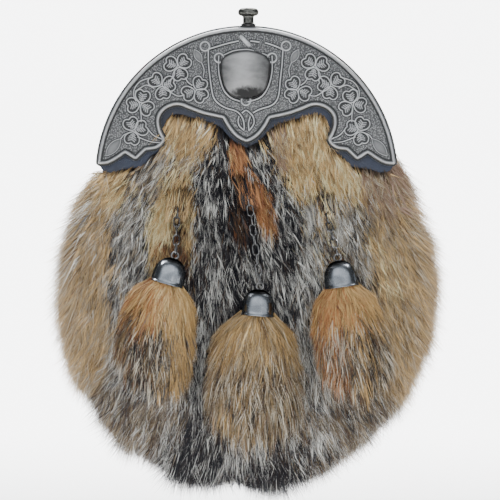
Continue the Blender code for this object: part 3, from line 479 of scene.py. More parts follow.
def raised_plate(name: str, outline: Sequence[Vector], back_y: float, front_y: float,
                 steps: Sequence[RimStep]) -> Object:
    """A plate whose front edge is shaped by insets.

    Args:
        name: the plate's name.
        outline: its outline, as X and Z.
        back_y: the Y of its back.
        front_y: the Y from which the steps' heights are counted.
        steps: the rim's rows, of which the first gives the side wall's height.

    Returns:
        The closed plate.
    """
    plate = flat_disc(name, outline, back_y)
    height = steps[0].height
    with editing(plate):
        move = {"value": (0, (front_y - height - back_y) * MM, 0)}
        bpy.ops.mesh.extrude_region_move(TRANSFORM_OT_translate=move)
        for step in steps[1:]:
            bpy.ops.mesh.inset(thickness=step.inward * MM, depth=(step.height - height) * MM)
            height = step.height
    face_outwards(plate)
    return plate


def turned(name: str, steps: Sequence[TurnedStep], sides: int) -> Object:
    """Turns a profile, drawn from its top down its outer side, about Z.

    Args:
        name: the piece's name.
        steps: the profile.
        sides: its corners round the axis.

    Returns:
        The closed piece.
    """
    edges = [(index, index + 1) for index in range(len(steps) - 1)]
    if steps[0].radius:
        edges.append((len(steps) - 1, 0))
    thing = mesh_object(name, [(step.radius, 0, step.height) for step in steps], [], edges)
    screw = thing.modifiers.new("turn", "SCREW")
    screw.steps = screw.render_steps = sides
    screw.use_merge_vertices = True
    screw.merge_threshold = 1e-6
    apply_modifiers(thing)
    face_outwards(thing)
    return thing


def wire(name: str, path: Sequence[Vector], radius: float, sides: int, closed: bool = False) -> Object:
    """A round wire along a path in millimetres, as a closed mesh.

    Args:
        name: the wire's name.
        path: the points of its centreline.
        radius: its radius.
        sides: the corners of its section.
        closed: whether its end meets its start.

    Returns:
        The wire.
    """
    count = len(path)
    across: Vector | None = None
    points, faces = [], []
    for index, place in enumerate(path):
        before = path[index - 1] if index or closed else place
        after = path[(index + 1) % count] if closed or index + 1 < count else place
        along = (after - before).normalized()
        across = along.orthogonal().normalized() if across is None else across
        across = (across - along * across.dot(along)).normalized()
        other = along.cross(across)
        points += [place + radius * (across * math.cos(turn) + other * math.sin(turn))
                   for turn in turns(sides)]
    for span in range(count if closed else count - 1):
        first, second = span * sides, (span + 1) % count * sides
        for side in range(sides):
            after = (side + 1) % sides
            faces.append((first + side, first + after, second + after, second + side))
    if not closed:
        faces += [range(sides - 1, -1, -1), range(len(points) - sides, len(points))]
    thing = mesh_object(name, points, faces)
    face_outwards(thing)
    return thing


# ---------------------------------------------------------------- finishes


class Graph:
    """The nodes of a material or of the sky, added and linked by short calls."""

    def __init__(self, name: str, sky: bool = False) -> None:
        """Starts a material with a Principled shader, or a sky.

        Args:
            name: its name.
            sky: whether it is a sky.
        """
        self.owner = (bpy.data.worlds if sky else bpy.data.materials).new(name)
        self.owner.use_nodes = True
        self.tree = self.owner.node_tree
        self.shader = self.tree.nodes["Background" if sky else "Principled BSDF"]

    def put(self, node: bpy.types.Node, inputs: dict) -> bpy.types.Node:
        """Sets or links a node's inputs, named or numbered.

        Args:
            node: the node.
            inputs: a value or a socket for each input.

        Returns:
            The node.
        """
        for key, value in inputs.items():
            socket = node.inputs[key]
            if isinstance(value, Socket):
                self.tree.links.new(value, socket)
            elif isinstance(value, tuple) and len(value) == 3 and socket.type == "RGBA":
                socket.default_value = (*value, 1)
            else:
                socket.default_value = value
        return node

    def node(self, kind: str, inputs: dict | None = None, **settings: object) -> bpy.types.Node:
        """Adds a node with its settings and inputs.

        Args:
            kind: the last part of the node's type.
            inputs: a value or a socket for each input.
            settings: the node's own settings.

        Returns:
            The node.
        """
        node = self.tree.nodes.new("ShaderNode" + kind)
        for key, value in settings.items():
            setattr(node, key, value)
        return self.put(node, inputs or {})

    def place(self) -> Socket:
        """The place of the shaded point, in metres."""
        return self.node("TexCoord").outputs["Object"]

    def axis(self, index: int) -> Socket:
        """One coordinate of the shaded point, in metres."""
        return self.node("SeparateXYZ", {0: self.place()}).outputs[index]

    def span(self, value: Socket, low: float, high: float) -> Socket:
        """0 where the value is at low, 1 where it is at high, and a soft rise between."""
        inputs = {"Value": value, "From Min": low, "From Max": high}
        return self.node("MapRange", inputs, interpolation_type="SMOOTHSTEP").outputs[0]

    def fit(self, value: Socket, first: float, last: float, low: float = 0.0, high: float = 1.0) -> Socket:
        """First where the value is at low, last where it is at high, and a straight rise between."""
        inputs = {"Value": value, "From Min": low, "From Max": high, "To Min": first, "To Max": last}
        return self.node("MapRange", inputs).outputs[0]

    def noise(self, size_mm: float, detail: float = 3.0, stretch: Triple = (1, 1, 1)) -> Socket:
        """Noise whose blotches are about a size across, stretched along the axes.

        Args:
            size_mm: the blotches' size.
            detail: how many finer sizes it has.
            stretch: how much longer they are along each axis.

        Returns:
            The noise, from 0 to 1.
        """
        scale = tuple(1 / part for part in stretch)
        spot = self.node("Mapping", {"Vector": self.place(), "Scale": scale}).outputs[0]
        inputs = {"Vector": spot, "Scale": 1 / (size_mm * MM), "Detail": detail}
        return self.node("TexNoise", inputs).outputs["Fac"]

    def cells(self, size_mm: float) -> Socket:
        """The distance to the nearest point of cells about a size across."""
        inputs = {"Vector": self.place(), "Scale": 1 / (size_mm * MM)}
        return self.node("TexVoronoi", inputs).outputs["Distance"]

    def ramp(self, value: Socket, stops: Sequence[tuple[float, Colour]]) -> Socket:
        """A colour from a value, by stops in rising order.

        Args:
            value: the value, from 0 to 1.
            stops: each stop's place and colour.

        Returns:
            The colour.
        """
        node = self.node("ValToRGB", {0: value})
        band = node.color_ramp
        while len(band.elements) < len(stops):
            band.elements.new(1.0)
        for element, (place, _) in zip(band.elements, stops):
            element.position = place
        for element, (_, colour) in zip(band.elements, stops):
            element.color = (*colour, 1)
        return node.outputs[0]

    def mix(self, factor: Value, first: Paint, second: Paint, how: str = "MIX") -> Socket:
        """A mix of two colours."""
        node = self.node("Mix", data_type="RGBA", blend_type=how)
        return self.put(node, {0: factor, 6: first, 7: second}).outputs[2]

    def tint(self, first: Paint, second: Paint) -> Socket:
        """A colour seen through another."""
        return self.mix(1.0, first, second, "MULTIPLY")

    def calc(self, how: str, first: Value, second: Value) -> Socket:
        """Two values put together."""
        return self.node("Math", {0: first, 1: second}, operation=how).outputs[0]

    def times(self, first: Value, second: Value) -> Socket:
        """The product of two values."""
        return self.calc("MULTIPLY", first, second)

    def part_of(self, axis: int, middle_mm: float, half_mm: float) -> Socket:
        """How far the shaded point is from a middle along an axis, in half sizes."""
        away = self.calc("SUBTRACT", self.axis(axis), middle_mm * MM)
        return self.calc("DIVIDE", away, half_mm * MM)

    def bump(self, height: Socket, depth_mm: float, strength: float, under: Socket | None = None) -> Socket:
        """A bump normal from a height of 0 to 1, over another bump if one is given.

        Args:
            height: the height.
            depth_mm: how deep a height of 1 is.
            strength: how much of it shows.
            under: the other bump.

        Returns:
            The normal.
        """
        inputs = {"Height": height, "Distance": depth_mm * MM, "Strength": strength}
        if under is not None:
            inputs["Normal"] = under
        return self.node("Bump", inputs).outputs[0]

    def finish(self, **inputs: object) -> Material:
        """Sets or links the shader's inputs, named with underscores for spaces."""
        self.put(self.shader, {key.replace("_", " "): value for key, value in inputs.items()})
        return self.owner


def grey(value: float) -> Colour:
    """A neutral colour."""
    return (value, value, value)


def linear(red: float, green: float, blue: float, gain: float = 1.0) -> Colour:
    """A scene colour from one on the screen's scale of 0 to 255.

    Args:
        red: its red.
        green: its green.
        blue: its blue.
        gain: how much brighter it is made.

    Returns:
        The scene colour.
    """
    shares = [part / 255 for part in (red, green, blue)]
    values = [s / 12.92 if s <= 0.04045 else ((s + 0.055) / 1.055) ** 2.4 for s in shares]
    return tuple(min(value * gain, 1.0) for value in values)


@dataclass(frozen=True)
class Pewter:
    """Antiqued cast pewter: dark in its pebbled ground and its grooves, rubbed bright where it stands,
    with painted shade beside its raised lines and a painted highlight on its highest parts.

    The bands give greys by height, from 0.2 on the ground to 1 at a millimetre before it.
    """

    field_y: float
    pebble_size: float = 0.74
    pebbled: Stops = ((0.0, 0.0), (0.185, 0.0), (0.199, 1.0), (0.206, 1.0), (0.214, 0.0), (1.0, 0.0))
    # The stops at 0.21 and 0.26, just over the ground, colour the raised lines' low skirts: dark antiquing
    # together with painted shade beside each line.
    patina_and_shade: Stops = ((0.0, 0.02), (0.21, 0.025), (0.26, 0.04), (0.34, 0.09), (0.46, 0.3), (0.62, 0.5),
                     (0.8, 0.5), (1.0, 0.4))

    def material(self) -> Material:
        """The finish, which reads how far a point stands before the ground.

        Returns:
            The material.
        """
        g = Graph("antique_pewter")
        height = g.fit(g.axis(1), 0.2, 1.0, self.field_y * MM, (self.field_y - 1.0) * MM)
        bead = g.span(g.cells(self.pebble_size), 0.62, 0.1)
        ground = g.mix(bead, grey(0.065), grey(0.3))
        blotch = g.span(g.noise(9.0, 2.0), 0.35, 0.65)
        ground = g.mix(g.times(blotch, 0.2), ground, grey(0.17))
        on_ground = g.ramp(height, [(place, grey(value)) for place, value in self.pebbled])
        patina_and_shade = g.ramp(height, [(place, grey(value)) for place, value in self.patina_and_shade])
        # Painted highlight: the highest parts, such as the bar's top, are lightened towards a grey of 0.85.
        painted_highlight = g.span(g.axis(1), (self.field_y - 1.3) * MM, (self.field_y - 1.55) * MM)
        patina_and_shade = g.mix(painted_highlight, patina_and_shade, grey(0.85))
        scuff = g.span(g.noise(2.2, 4.0), 0.3, 0.75)
        patina_and_shade = g.mix(g.times(scuff, 0.35), patina_and_shade, g.tint(patina_and_shade, grey(0.55)))
        colour = g.tint(g.mix(on_ground, patina_and_shade, ground), (0.97, 0.985, 1.0))
        relief = g.mix(on_ground, grey(0.5), bead)
        normal = g.bump(relief, 0.2, 0.8, g.bump(g.noise(0.5, 3.0), 0.03, 0.5))
        rough = g.fit(g.span(g.noise(1.6, 3.0), 0.2, 0.8), 0.3, 0.46)
        return g.finish(Base_Color=colour, Metallic=0.9, Roughness=rough, Normal=normal)


@dataclass(frozen=True)
class PolishedPewter:
    """The dome's polish: greyer and cloudier than chrome, with a stain above its foot."""

    # Where the painted reflection is lightest, and how far it reaches to each side.
    painted_reflection_x: float = -1.6
    painted_reflection_half_x: float = 12.0
    stain_x: float = 1.0
    stain_z: float = 16.6
    stain_half_x: float = 10.4
    stain_half_z: float = 4.4

    def material(self) -> Material:
        """The finish, with a painted reflection that is lighter in the middle and darker at the sides, and
        faint rubbing lines across it.

        Returns:
            The material.
        """
        g = Graph("polished_pewter")
        cloud = g.span(g.noise(4.0, 5.0, (1.6, 1.0, 0.8)), 0.3, 0.7)
        # Painted reflection: lighter towards the dome's middle and darker towards its sides.
        out = g.calc("ABSOLUTE", g.calc("SUBTRACT", g.axis(0), self.painted_reflection_x * MM), 0.0)
        glow = g.span(out, self.painted_reflection_half_x * MM, 0.5 * MM)
        light = g.calc("ADD", g.times(cloud, 0.3), g.times(glow, 0.7))
        side = g.part_of(0, self.stain_x, self.stain_half_x)
        rise = g.part_of(2, self.stain_z, self.stain_half_z)
        away = g.calc("ADD", g.times(side, side), g.times(rise, rise))
        stain = g.span(g.calc("ADD", away, g.times(g.noise(1.6, 4.0), 1.1)), 1.7, 0.7)
        colour = g.mix(stain, g.mix(light, grey(0.07), grey(0.33)), grey(0.025))
        normal = g.bump(g.noise(0.7, 3.0, (5.0, 1.0, 1.0)), 0.02, 0.3)
        rough = g.fit(cloud, 0.34, 0.46)
        return g.finish(Base_Color=colour, Metallic=0.9, Roughness=rough, Normal=normal)


@dataclass(frozen=True)
class PlatedMetal:
    """Plated or turned metal: smooth, with faint wear and stains, and painted shade, near black, where an
    attribute says so.
    """

    name: str
    light: Colour
    dark: Colour
    roughness: float
    stain_size: float = 2.5
    turned_lines: bool = False
    painted_shade: str = ""

    def material(self) -> Material:
        """The finish, with fine lines round the axis where it was turned.

        Returns:
            The material.
        """
        g = Graph(self.name)
        stain = g.span(g.noise(self.stain_size, 4.0), 0.35, 0.7)
        colour = g.mix(stain, self.light, self.dark)
        lines = g.noise(0.35, 2.0, (60.0, 60.0, 1.0)) if self.turned_lines else g.noise(0.8, 3.0)
        rough = g.fit(stain, self.roughness, self.roughness + 0.1)
        # Painted shade: where the attribute says so, the colour goes near black and the surface rougher.
        if self.painted_shade:
            black = g.node("Attribute", attribute_name=self.painted_shade).outputs["Fac"]
            colour = g.mix(black, colour, grey(0.012))
            rough = g.calc("ADD", rough, g.times(black, 0.2))
        return g.finish(Base_Color=colour, Metallic=1.0, Roughness=rough, Specular_Tint=grey(0.12),
                        Normal=g.bump(lines, 0.02, 0.35))


@dataclass(frozen=True)
class Leather:
    """Dyed leather with a pressed grain."""

    name: str
    light: Colour
    dark: Colour
    grain_mm: float
    roughness: float

    def material(self) -> Material:
        """The finish: fine cells for the grain, over broad soft changes of colour.

        Returns:
            The material.
        """
        g = Graph(self.name)
        cell = g.span(g.cells(self.grain_mm), 0.1, 0.75)
        broad = g.span(g.noise(14.0, 4.0), 0.3, 0.7)
        colour = g.mix(broad, self.dark, self.light)
        colour = g.mix(g.times(cell, 0.45), colour, g.tint(colour, grey(0.45)))
        crease = g.bump(g.noise(5.0, 5.0), 0.25, 0.35)
        normal = g.bump(g.calc("SUBTRACT", 1.0, cell), 0.12, 0.7, crease)
        rough = g.fit(broad, self.roughness, self.roughness + 0.14)
        return g.finish(Base_Color=colour, Roughness=rough, Normal=normal, Specular_IOR_Level=0.4)


class Shade(Enum):
    """The kinds of hair: the colour near the root and that of the outer part, on the screen's scale."""

    INK = ((16, 16, 20), (28, 29, 36))
    CHARCOAL = ((34, 31, 31), (58, 56, 58))
    SLATE = ((56, 51, 48), (108, 106, 106))
    ASH = ((78, 70, 64), (168, 165, 160))
    FROST = ((84, 78, 72), (236, 233, 226))
    CREAM = ((190, 164, 122), (248, 226, 180))
    SAND = ((158, 128, 84), (220, 186, 132))
    WHEAT = ((132, 106, 74), (188, 158, 112))
    KHAKI = ((104, 90, 70), (164, 144, 112))
    UMBER = ((66, 52, 42), (110, 88, 68))
    MAUVE = ((96, 78, 68), (152, 126, 108))
    AMBER = ((138, 92, 60), (196, 140, 96))
    RUST = ((86, 54, 38), (138, 90, 62))
    PEAT = ((28, 22, 19), (52, 41, 36))
    TAUPE = ((98, 88, 76), (160, 147, 128))
    DRIFT = ((120, 108, 94), (200, 188, 168))

    @property
    def brightness(self) -> int:
        """How bright its outer part is."""
        return sum(self.value[1])


# Each shade has its own stretch of the map, with a darker end and a lighter one.
SHADES = tuple(Shade)
SHADE_ENDS = (0.12, 0.88)
SHADE_GAINS = (0.6, 1.22)
STRAND_MAP = "OFBake"


def shade_place(shades: Sequence[Shade], chosen: Array, within: Array) -> Array:
    """The place across the map of hairs whose shades are chosen from a list, and how light they are.

    Args:
        shades: the list.
        chosen: the number in it of each hair's shade.
        within: how light each hair is, from 0 to 1.

    Returns:
        The places, from 0 to 1.
    """
    index = np.array([SHADES.index(shade) for shade in shades])[chosen]
    low, high = SHADE_ENDS
    return (index + low + (high - low) * within) / len(SHADES)


@dataclass(frozen=True)
class HairFinish:
    """Hair whose shade is read across its own map, and its place from root to tip along it."""

    name: str
    turn_start: float
    turn_end: float
    painted_root_shade: float
    gain: float = 1.0
    tint: Colour = (1.0, 1.0, 1.0)

    def stops(self, part: int) -> list[tuple[float, Colour]]:
        """A ramp's stops: each shade of hair has a darker and a lighter end.

        Args:
            part: 0 for the colours near the root and 1 for the outer ones.

        Returns:
            Each stop's place and colour.
        """
        found = []
        for index, shade in enumerate(SHADES):
            for place, gain in zip(SHADE_ENDS, SHADE_GAINS):
                colour = linear(*shade.value[part], gain=gain * self.gain)
                colour = tuple(value * tint for value, tint in zip(colour, self.tint))
                found.append(((index + place) / len(SHADES), colour))
        return found

    def material(self) -> Material:
        """The finish, which reads nothing but the strand's own map.

        Returns:
            The material.
        """
        g = Graph(self.name)
        spot = g.node("UVMap", uv_map=STRAND_MAP).outputs[0]
        kind, along = g.node("SeparateXYZ", {0: spot}).outputs[:2]
        root, outer = (g.ramp(kind, self.stops(part)) for part in (0, 1))
        colour = g.mix(g.span(along, self.turn_start, self.turn_end), root, outer)
        # Painted shade: each hair is darkened over the first 0.4 of its run from the root, where the coat
        # shades it.
        colour = g.mix(g.span(along, 0.0, 0.4), g.tint(colour, grey(self.painted_root_shade)), colour)
        rough = g.fit(along, 0.75, 0.5)
        return g.finish(Base_Color=colour, Roughness=rough, Specular_IOR_Level=0.25)


# ---------------------------------------------------------------- the pouch's form


def from_top(angle: Array) -> Array:
    """How far angles round the front are from straight up, from 0 to 180."""
    return np.abs((angle + 180) % 360 - 180)


@dataclass(frozen=True)
class PouchForm:
    """The leather pouch's front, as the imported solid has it, for any number of points at once."""

    middle_z: float = -60.0
    arc_centre_z: float = -25.0
    arc_radius: float = 72.0
    rear_y: float = -5.8
    lip: float = 2.0
    top_depth: float = 12.0
    belly_depth: float = 28.0
    swell_top_z: float = -19.0
    swell_foot_z: float = -82.0
    top_shoulder: float = 16.0
    belly_shoulder: float = 5.0
    rounding: float = 0.55
    shoulder_reach: float = 0.9
    side_fall: float = 26.0
    most_fall: float = 9.0

    def radius(self, outline: Sequence[float], angle: Array) -> Array:
        """An outline's radius at angles from straight up: its rows, and the same arc over every top.

        Args:
            outline: its radii at the angles of OUTLINE_ANGLES.
            angle: the angles, in degrees.

        Returns:
            The radii.
        """
        angle = from_top(np.asarray(angle, float))
        turn = np.radians(np.minimum(angle, OUTLINE_ANGLES[0]))
        drop = self.arc_centre_z - self.middle_z
        arc = drop * np.cos(turn) + np.sqrt(self.arc_radius**2 - (drop * np.sin(turn)) ** 2)
        arc += outline[0] - POUCH_OUTLINE[0]
        return np.where(angle <= OUTLINE_ANGLES[0], arc, np.interp(angle, OUTLINE_ANGLES, outline))

    def angle(self, x: Array, z: Array) -> Array:
        """The angle from straight up, seen from the pouch's middle."""
        return np.degrees(np.arctan2(x, z - self.middle_z))

    def reach(self, x: Array, z: Array, outline: Sequence[float] = POUCH_OUTLINE) -> Array:
        """How far out a point is, as a fraction of an outline's radius there."""
        return np.hypot(x, z - self.middle_z) / self.radius(outline, self.angle(x, z))

    def front_y(self, x: Array, z: Array) -> Array:
        """The Y of the leather's front, which holds the shoulder's depth past it.

        Args:
            x: the points' X.
            z: their height.

        Returns:
            Their Y.
        """
        part = np.clip((z - self.swell_top_z) / (self.swell_foot_z - self.swell_top_z), 0, 1)
        swell = part * part * (3 - 2 * part)
        depth = self.top_depth + (self.belly_depth - self.top_depth) * swell
        shoulder = self.top_shoulder + (self.belly_shoulder - self.top_shoulder) * swell
        reach = self.reach(x, z)
        rise = (1 - np.minimum(reach, self.shoulder_reach) ** shoulder) ** self.rounding
        fall = np.clip(reach - self.shoulder_reach, 0, None) * self.side_fall
        return self.rear_y - self.lip - (depth - self.lip) * rise + np.minimum(fall, self.most_fall)


FORM = PouchForm()


# ---------------------------------------------------------------- metal and leather

EYE_LIFT = 1.4
EYE_RADIUS = 1.7


class Leaf(NamedTuple):
    """A leaf's hub, its direction and the direction across it."""

    hub: Vector
    along: Vector
    across: Vector


def add_spline(curve: bpy.types.Curve, points: Sequence[Sequence[float]], closed: bool) -> bpy.types.Spline:
    """Adds straight pieces between points in millimetres to a curve.

    Args:
        curve: the curve.
        points: the points.
        closed: whether the last is joined to the first.

    Returns:
        The spline.
    """
    spline = curve.splines.new("POLY")
    spline.points.add(len(points) - 1)
    for point, place in zip(spline.points, points):
        point.co = (*(value * MM for value in place), 1)
    spline.use_cyclic_u = closed
    return spline


@dataclass(frozen=True)
class Cantle:
    """The half-round casting that crowns the pouch, with its rim, knotwork, shamrocks and dome."""

    arc_radius: float = 75.0
    arc_centre_z: float = -25.0
    outline_step: float = 1.1
    back_y: float = -21.4
    field_y: float = -23.2
    line_width: float = 1.5
    line_height: float = 1.05
    rim_size: float = 1.18
    frame_size: float = 0.64
    knot_size: float = 0.62
    ring_size: float = 0.58
    leaf_size: float = 0.52
    stem_size: float = 0.5
    bud_size: float = 0.4
    rim_inset: float = 0.93
    ring_radius: float = 2.3
    ring_lift: float = 0.15
    vein_size: float = 0.2
    vein_lift: float = 0.3
    vein_slope: float = 0.13
    leaf_length: float = 6.9
    leaf_width: float = 7.3
    sink: float = 0.2
    dome_x: float = -0.55
    dome_z: float = 26.6
    dome_height: float = 4.6

    def outline(self) -> list[Vector]:
        """The casting's outline."""
        return plate_outline(CANTLE_EDGE, self.arc_radius, self.arc_centre_z, self.outline_step)

    def ridges(self) -> list[Ridge]:
        """Every raised line.

        Returns:
            The lines.
        """
        lines = [Ridge(inset_path(self.outline(), self.rim_inset), self.rim_size, True)]
        lines += [Ridge(smooth_curve(path, 0.8), self.frame_size) for path in FRAME_LINES]
        lines += [Ridge(smooth_curve(path, 0.6), self.knot_size) for path in KNOT_LOOPS]
        radius = self.ring_radius
        for x, z in RINGS:
            ring = [Vector((x + radius * math.cos(t), z + radius * math.sin(t))) for t in turns(22)]
            lines.append(Ridge(ring, self.ring_size, True, self.ring_lift))
        for sign in (1, -1):
            stems = [[(sign * x, z) for x, z in path] for path in STEMS]
            lines += [Ridge(smooth_curve(path, 0.8), self.stem_size) for path in stems]
            lines += [Ridge(self.bud_outline(bud, sign), self.bud_size, True) for bud in BUDS]
            for leaf in self.leaves(sign):
                lines += self.leaf_lines(leaf)
        return lines

    def leaves(self, sign: int) -> list[Leaf]:
        """The leaves of one half.

        Args:
            sign: 1 for the half that the tables give and -1 for its mirror.

        Returns:
            The leaves.
        """
        found = []
        for rock in SHAMROCKS:
            for angle in rock.leaves:
                turn = math.radians(angle if sign > 0 else 180 - angle)
                along = Vector((math.cos(turn), math.sin(turn)))
                found.append(Leaf(Vector((sign * rock.x, rock.z)), along, Vector((-along.y, along.x))))
        return found

    def leaf_outline(self, leaf: Leaf) -> list[Vector]:
        """The closed heart shape of a leaf.

        Args:
            leaf: the leaf.

        Returns:
            Its points, as X and Z.
        """
        half = smooth_curve([(a * self.leaf_length, b * self.leaf_width) for a, b in LEAF_OUTLINE], 0.8)
        whole = half + [Vector((point.x, -point.y)) for point in reversed(half[:-1])]
        return [leaf.hub + leaf.along * point.x + leaf.across * point.y for point in whole]

    def leaf_lines(self, leaf: Leaf) -> list[Ridge]:
        """A leaf's rounded edge, its midrib and its chevron veins.

        Args:
            leaf: the leaf.

        Returns:
            Its raised lines.
        """
        along, across = leaf.along * self.leaf_length, leaf.across * self.leaf_length
        paths = [[leaf.hub + along * part for part in LEAF_RIB]]
        for start, reach in LEAF_VEINS:
            for side in (1, -1):
                foot = leaf.hub + along * start
                tip = leaf.hub + along * (start + self.vein_slope) + across * side * reach
                paths.append([foot, (foot + tip) / 2, tip])
        veins = [Ridge(path, self.vein_size, False, self.vein_lift) for path in paths]
        return [Ridge(self.leaf_outline(leaf), self.leaf_size, True), *veins]

    def bud_outline(self, bud: Bud, sign: int) -> list[Vector]:
        """The closed pointed oval of a bud.

        Args:
            bud: the bud.
            sign: 1 for the half that the tables give and -1 for its mirror.

        Returns:
            Its points, as X and Z.
        """
        foot, tip = (Vector((sign * x, z)) for x, z in (bud.foot, bud.tip))
        across = Vector((-(tip - foot).y, (tip - foot).x)).normalized()
        shape = []
        for step in range(20):
            part = step / 10 if step <= 10 else (20 - step) / 10
            wide = (1 - (2 * part - 1) ** 2) * bud.width / 2 * (1 if step <= 10 else -1)
            shape.append(foot + (tip - foot) * part + across * wide)
        return shape

    def section(self) -> Object:
        """The section of a raised line, with a low skirt on each side that holds the dark antiquing and
        painted shade beside it.

        Returns:
            The closed curve.
        """
        width, height = self.line_width / 2, self.line_height
        half = ((width * 1.95, -0.25), (width * 1.9, 0.055), (width * 1.02, 0.075),
                (width * 0.86, height * 0.5), (width * 0.5, height * 0.88))
        shape = [*half, (0.0, height), *[(-x, z) for x, z in reversed(half)]]
        curve = bpy.data.curves.new("line_section", "CURVE")
        add_spline(curve, [(x, z, 0) for x, z in shape], True)
        return add_object("line_section", curve)

    def relief(self) -> Object:
        """All raised lines, swept in one curve and made a mesh.

        Returns:
            The mesh.
        """
        section = self.section()
        curve = bpy.data.curves.new("raised_lines", "CURVE")
        curve.dimensions = "3D"
        curve.twist_mode = "Z_UP"
        curve.bevel_mode = "OBJECT"
        curve.bevel_object = section
        curve.use_fill_caps = True
        for ridge in self.ridges():
            spline = add_spline(curve, [(spot.x, spot.y, ridge.lift) for spot in ridge.path], ridge.closed)
            for point in spline.points:
                point.radius = ridge.size
        lines = add_object("raised_lines", curve)
        lines.rotation_euler = (math.pi / 2, 0, 0)
        lines.location = (0, self.field_y * MM, 0)
        select_only(lines)
        bpy.ops.object.convert(target="MESH")
        lines = bpy.context.active_object
        bpy.ops.object.transform_apply(location=True, rotation=True, scale=True)
        bpy.data.objects.remove(section)
        return lines

    def swelling(self, name: str, outline: Sequence[Vector], middle: Sequence[float],
                 steps: Sequence[tuple[float, float]]) -> Object:
        """A body inside an outline, which shrinks about its middle and rises by steps.

        Args:
            name: the body's name.
            outline: its foot, as X and Z.
            middle: the point that it shrinks about.
            steps: how much is left of its width, and how far it rises, at each step.

        Returns:
            The body.
        """
        disc = flat_disc(name, outline, self.field_y + self.sink)
        pivot = (middle[0] * MM, self.field_y * MM, middle[1] * MM)
        with editing(disc):
            for shrink, rise in steps:
                bpy.ops.mesh.extrude_region_move(TRANSFORM_OT_translate={"value": (0, -rise * MM, 0)})
                bpy.ops.transform.resize(value=(shrink, 1, shrink), center_override=pivot)
        return disc

    def pillow(self, name: str, outline: Sequence[Vector], height: float, swell: float) -> Object:
        """A low cushion of metal inside an outline.

        Args:
            name: the cushion's name.
            outline: its foot, as X and Z.
            height: how high its edge stands.
            swell: how far its middle rises over its edge.

        Returns:
            The cushion.
        """
        middle = sum(outline, Vector((0.0, 0.0))) / len(outline)
        steps = ((1.0, self.sink + height), (0.86, 0.55 * swell), (0.7, 0.3 * swell), (0.45, 0.15 * swell))
        return self.swelling(name, outline, middle, steps)

    def fills(self) -> list[Object]:
        """The buds' and leaves' low swelling bodies.

        Returns:
            The bodies.
        """
        found = []
        for sign in (1, -1):
            found += [self.pillow("bud", self.bud_outline(bud, sign), 0.12, 0.14) for bud in BUDS]
            found += [self.pillow("leaf", self.leaf_outline(leaf), 0.03, 0.1) for leaf in self.leaves(sign)]
        return found

    def bar(self) -> Object:
        """The small bright bar that lies across the top line.

        Returns:
            The bar.
        """
        foot, tip = Vector(BAR[0]), Vector(BAR[1])
        along = (tip - foot).normalized()
        across = Vector((-along.y, along.x))
        shape = [foot + (tip - foot) * part + across * wide for part, wide in BAR_HALF_WIDTHS]
        shape += [foot + (tip - foot) * part - across * wide for part, wide in reversed(BAR_HALF_WIDTHS)]
        return self.pillow("bar", shape, 0.9, 0.5)

    def dome(self) -> Object:
        """The polished dome, which fills the inner frame.

        Returns:
            The dome.
        """
        outline = smooth_curve(DOME_OUTLINE, 1.2)[:-1]
        steps = [(inner / outer, 0.0) for outer, inner in zip(DOME_RINGS, DOME_RINGS[1:])]
        disc = self.swelling("cantle_dome", outline, (self.dome_x, self.dome_z), steps)
        centre = Vector((self.dome_x * MM, self.dome_z * MM))
        spokes = [Vector((point.x * MM, point.y * MM)) - centre for point in outline]
        ways = np.array([math.atan2(spoke.x, spoke.y) for spoke in spokes])
        sizes = np.array([spoke.length for spoke in spokes])
        order = np.argsort(ways)
        for vertex in disc.data.vertices:
            spot = Vector((vertex.co.x, vertex.co.z)) - centre
            size = np.interp(math.atan2(spot.x, spot.y), ways[order], sizes[order], period=2 * math.pi)
            part = min(spot.length / size, 1.0)
            rise = 1 - 0.5 * part**2 - 0.5 * part**60
            vertex.co.y = (self.field_y + self.sink - (self.dome_height + self.sink) * rise) * MM
        disc.data.update()
        return disc

    def build(self) -> None:
        """Makes the casting and its dome."""
        plate = raised_plate("cantle_casting", self.outline(), self.back_y, self.field_y, CASTING_RIM)
        casting = join_pieces("cantle_casting", [plate, self.relief(), *self.fills(), self.bar()])
        finish_piece(casting, Pewter(self.field_y).material(), ["cantle"], 40.0)
        finish_piece(self.dome(), PolishedPewter().material(), smooth_deg=60.0)


@dataclass(frozen=True)
class CantleBoard:
    """The navy leather board behind the cantle, whose lower edge shows below it."""

    arc_radius: float = 74.0
    arc_centre_z: float = -25.0
    back_y: float = -18.1
    thickness: float = 3.0

    def outline(self, step: float) -> list[Vector]:
        """The board's outline, with its points a step apart."""
        return plate_outline(BOARD_EDGE, self.arc_radius, self.arc_centre_z, step)

    def build(self) -> None:
        """Makes the board with its rounded edge."""
        front_y = self.back_y - self.thickness
        board = raised_plate("board_leather", self.outline(1.6), self.back_y, front_y, BOARD_RIM)
        navy = Leather("navy_leather", linear(42, 50, 68), linear(28, 34, 48), 0.6, 0.45)
        finish_piece(board, navy.material(), ["cantle_board"])


@dataclass(frozen=True)
class Knob:
    """The turned finial over the cantle, and its dark collar."""

    x: float = 0.9
    y: float = -20.65
    sides: int = 56

    def build(self) -> None:
        """Turns both pieces and sets them in place."""
        steel = PlatedMetal("turned_steel", (0.12, 0.12, 0.112), (0.05, 0.05, 0.046), 0.27, 1.6, True)
        black = PlatedMetal("blackened_steel", grey(0.05), grey(0.02), 0.3, 1.6, True)
        head = turned("knob_head", KNOB_PROFILE, self.sides)
        collar = turned("knob_foot", COLLAR_PROFILE, self.sides)
        for thing in (head, collar):
            thing.location = (self.x * MM, self.y * MM, 0)
        finish_piece(head, steel.material(), ["knob"], 50.0)
        finish_piece(collar, black.material(), ["knob_collar"], 50.0)


class ChainLine(NamedTuple):
    """The way up a chain, its first link's middle, the pitch of its links and its staple's place."""

    up: Vector
    first: Vector
    pitch: float
    staple: Vector


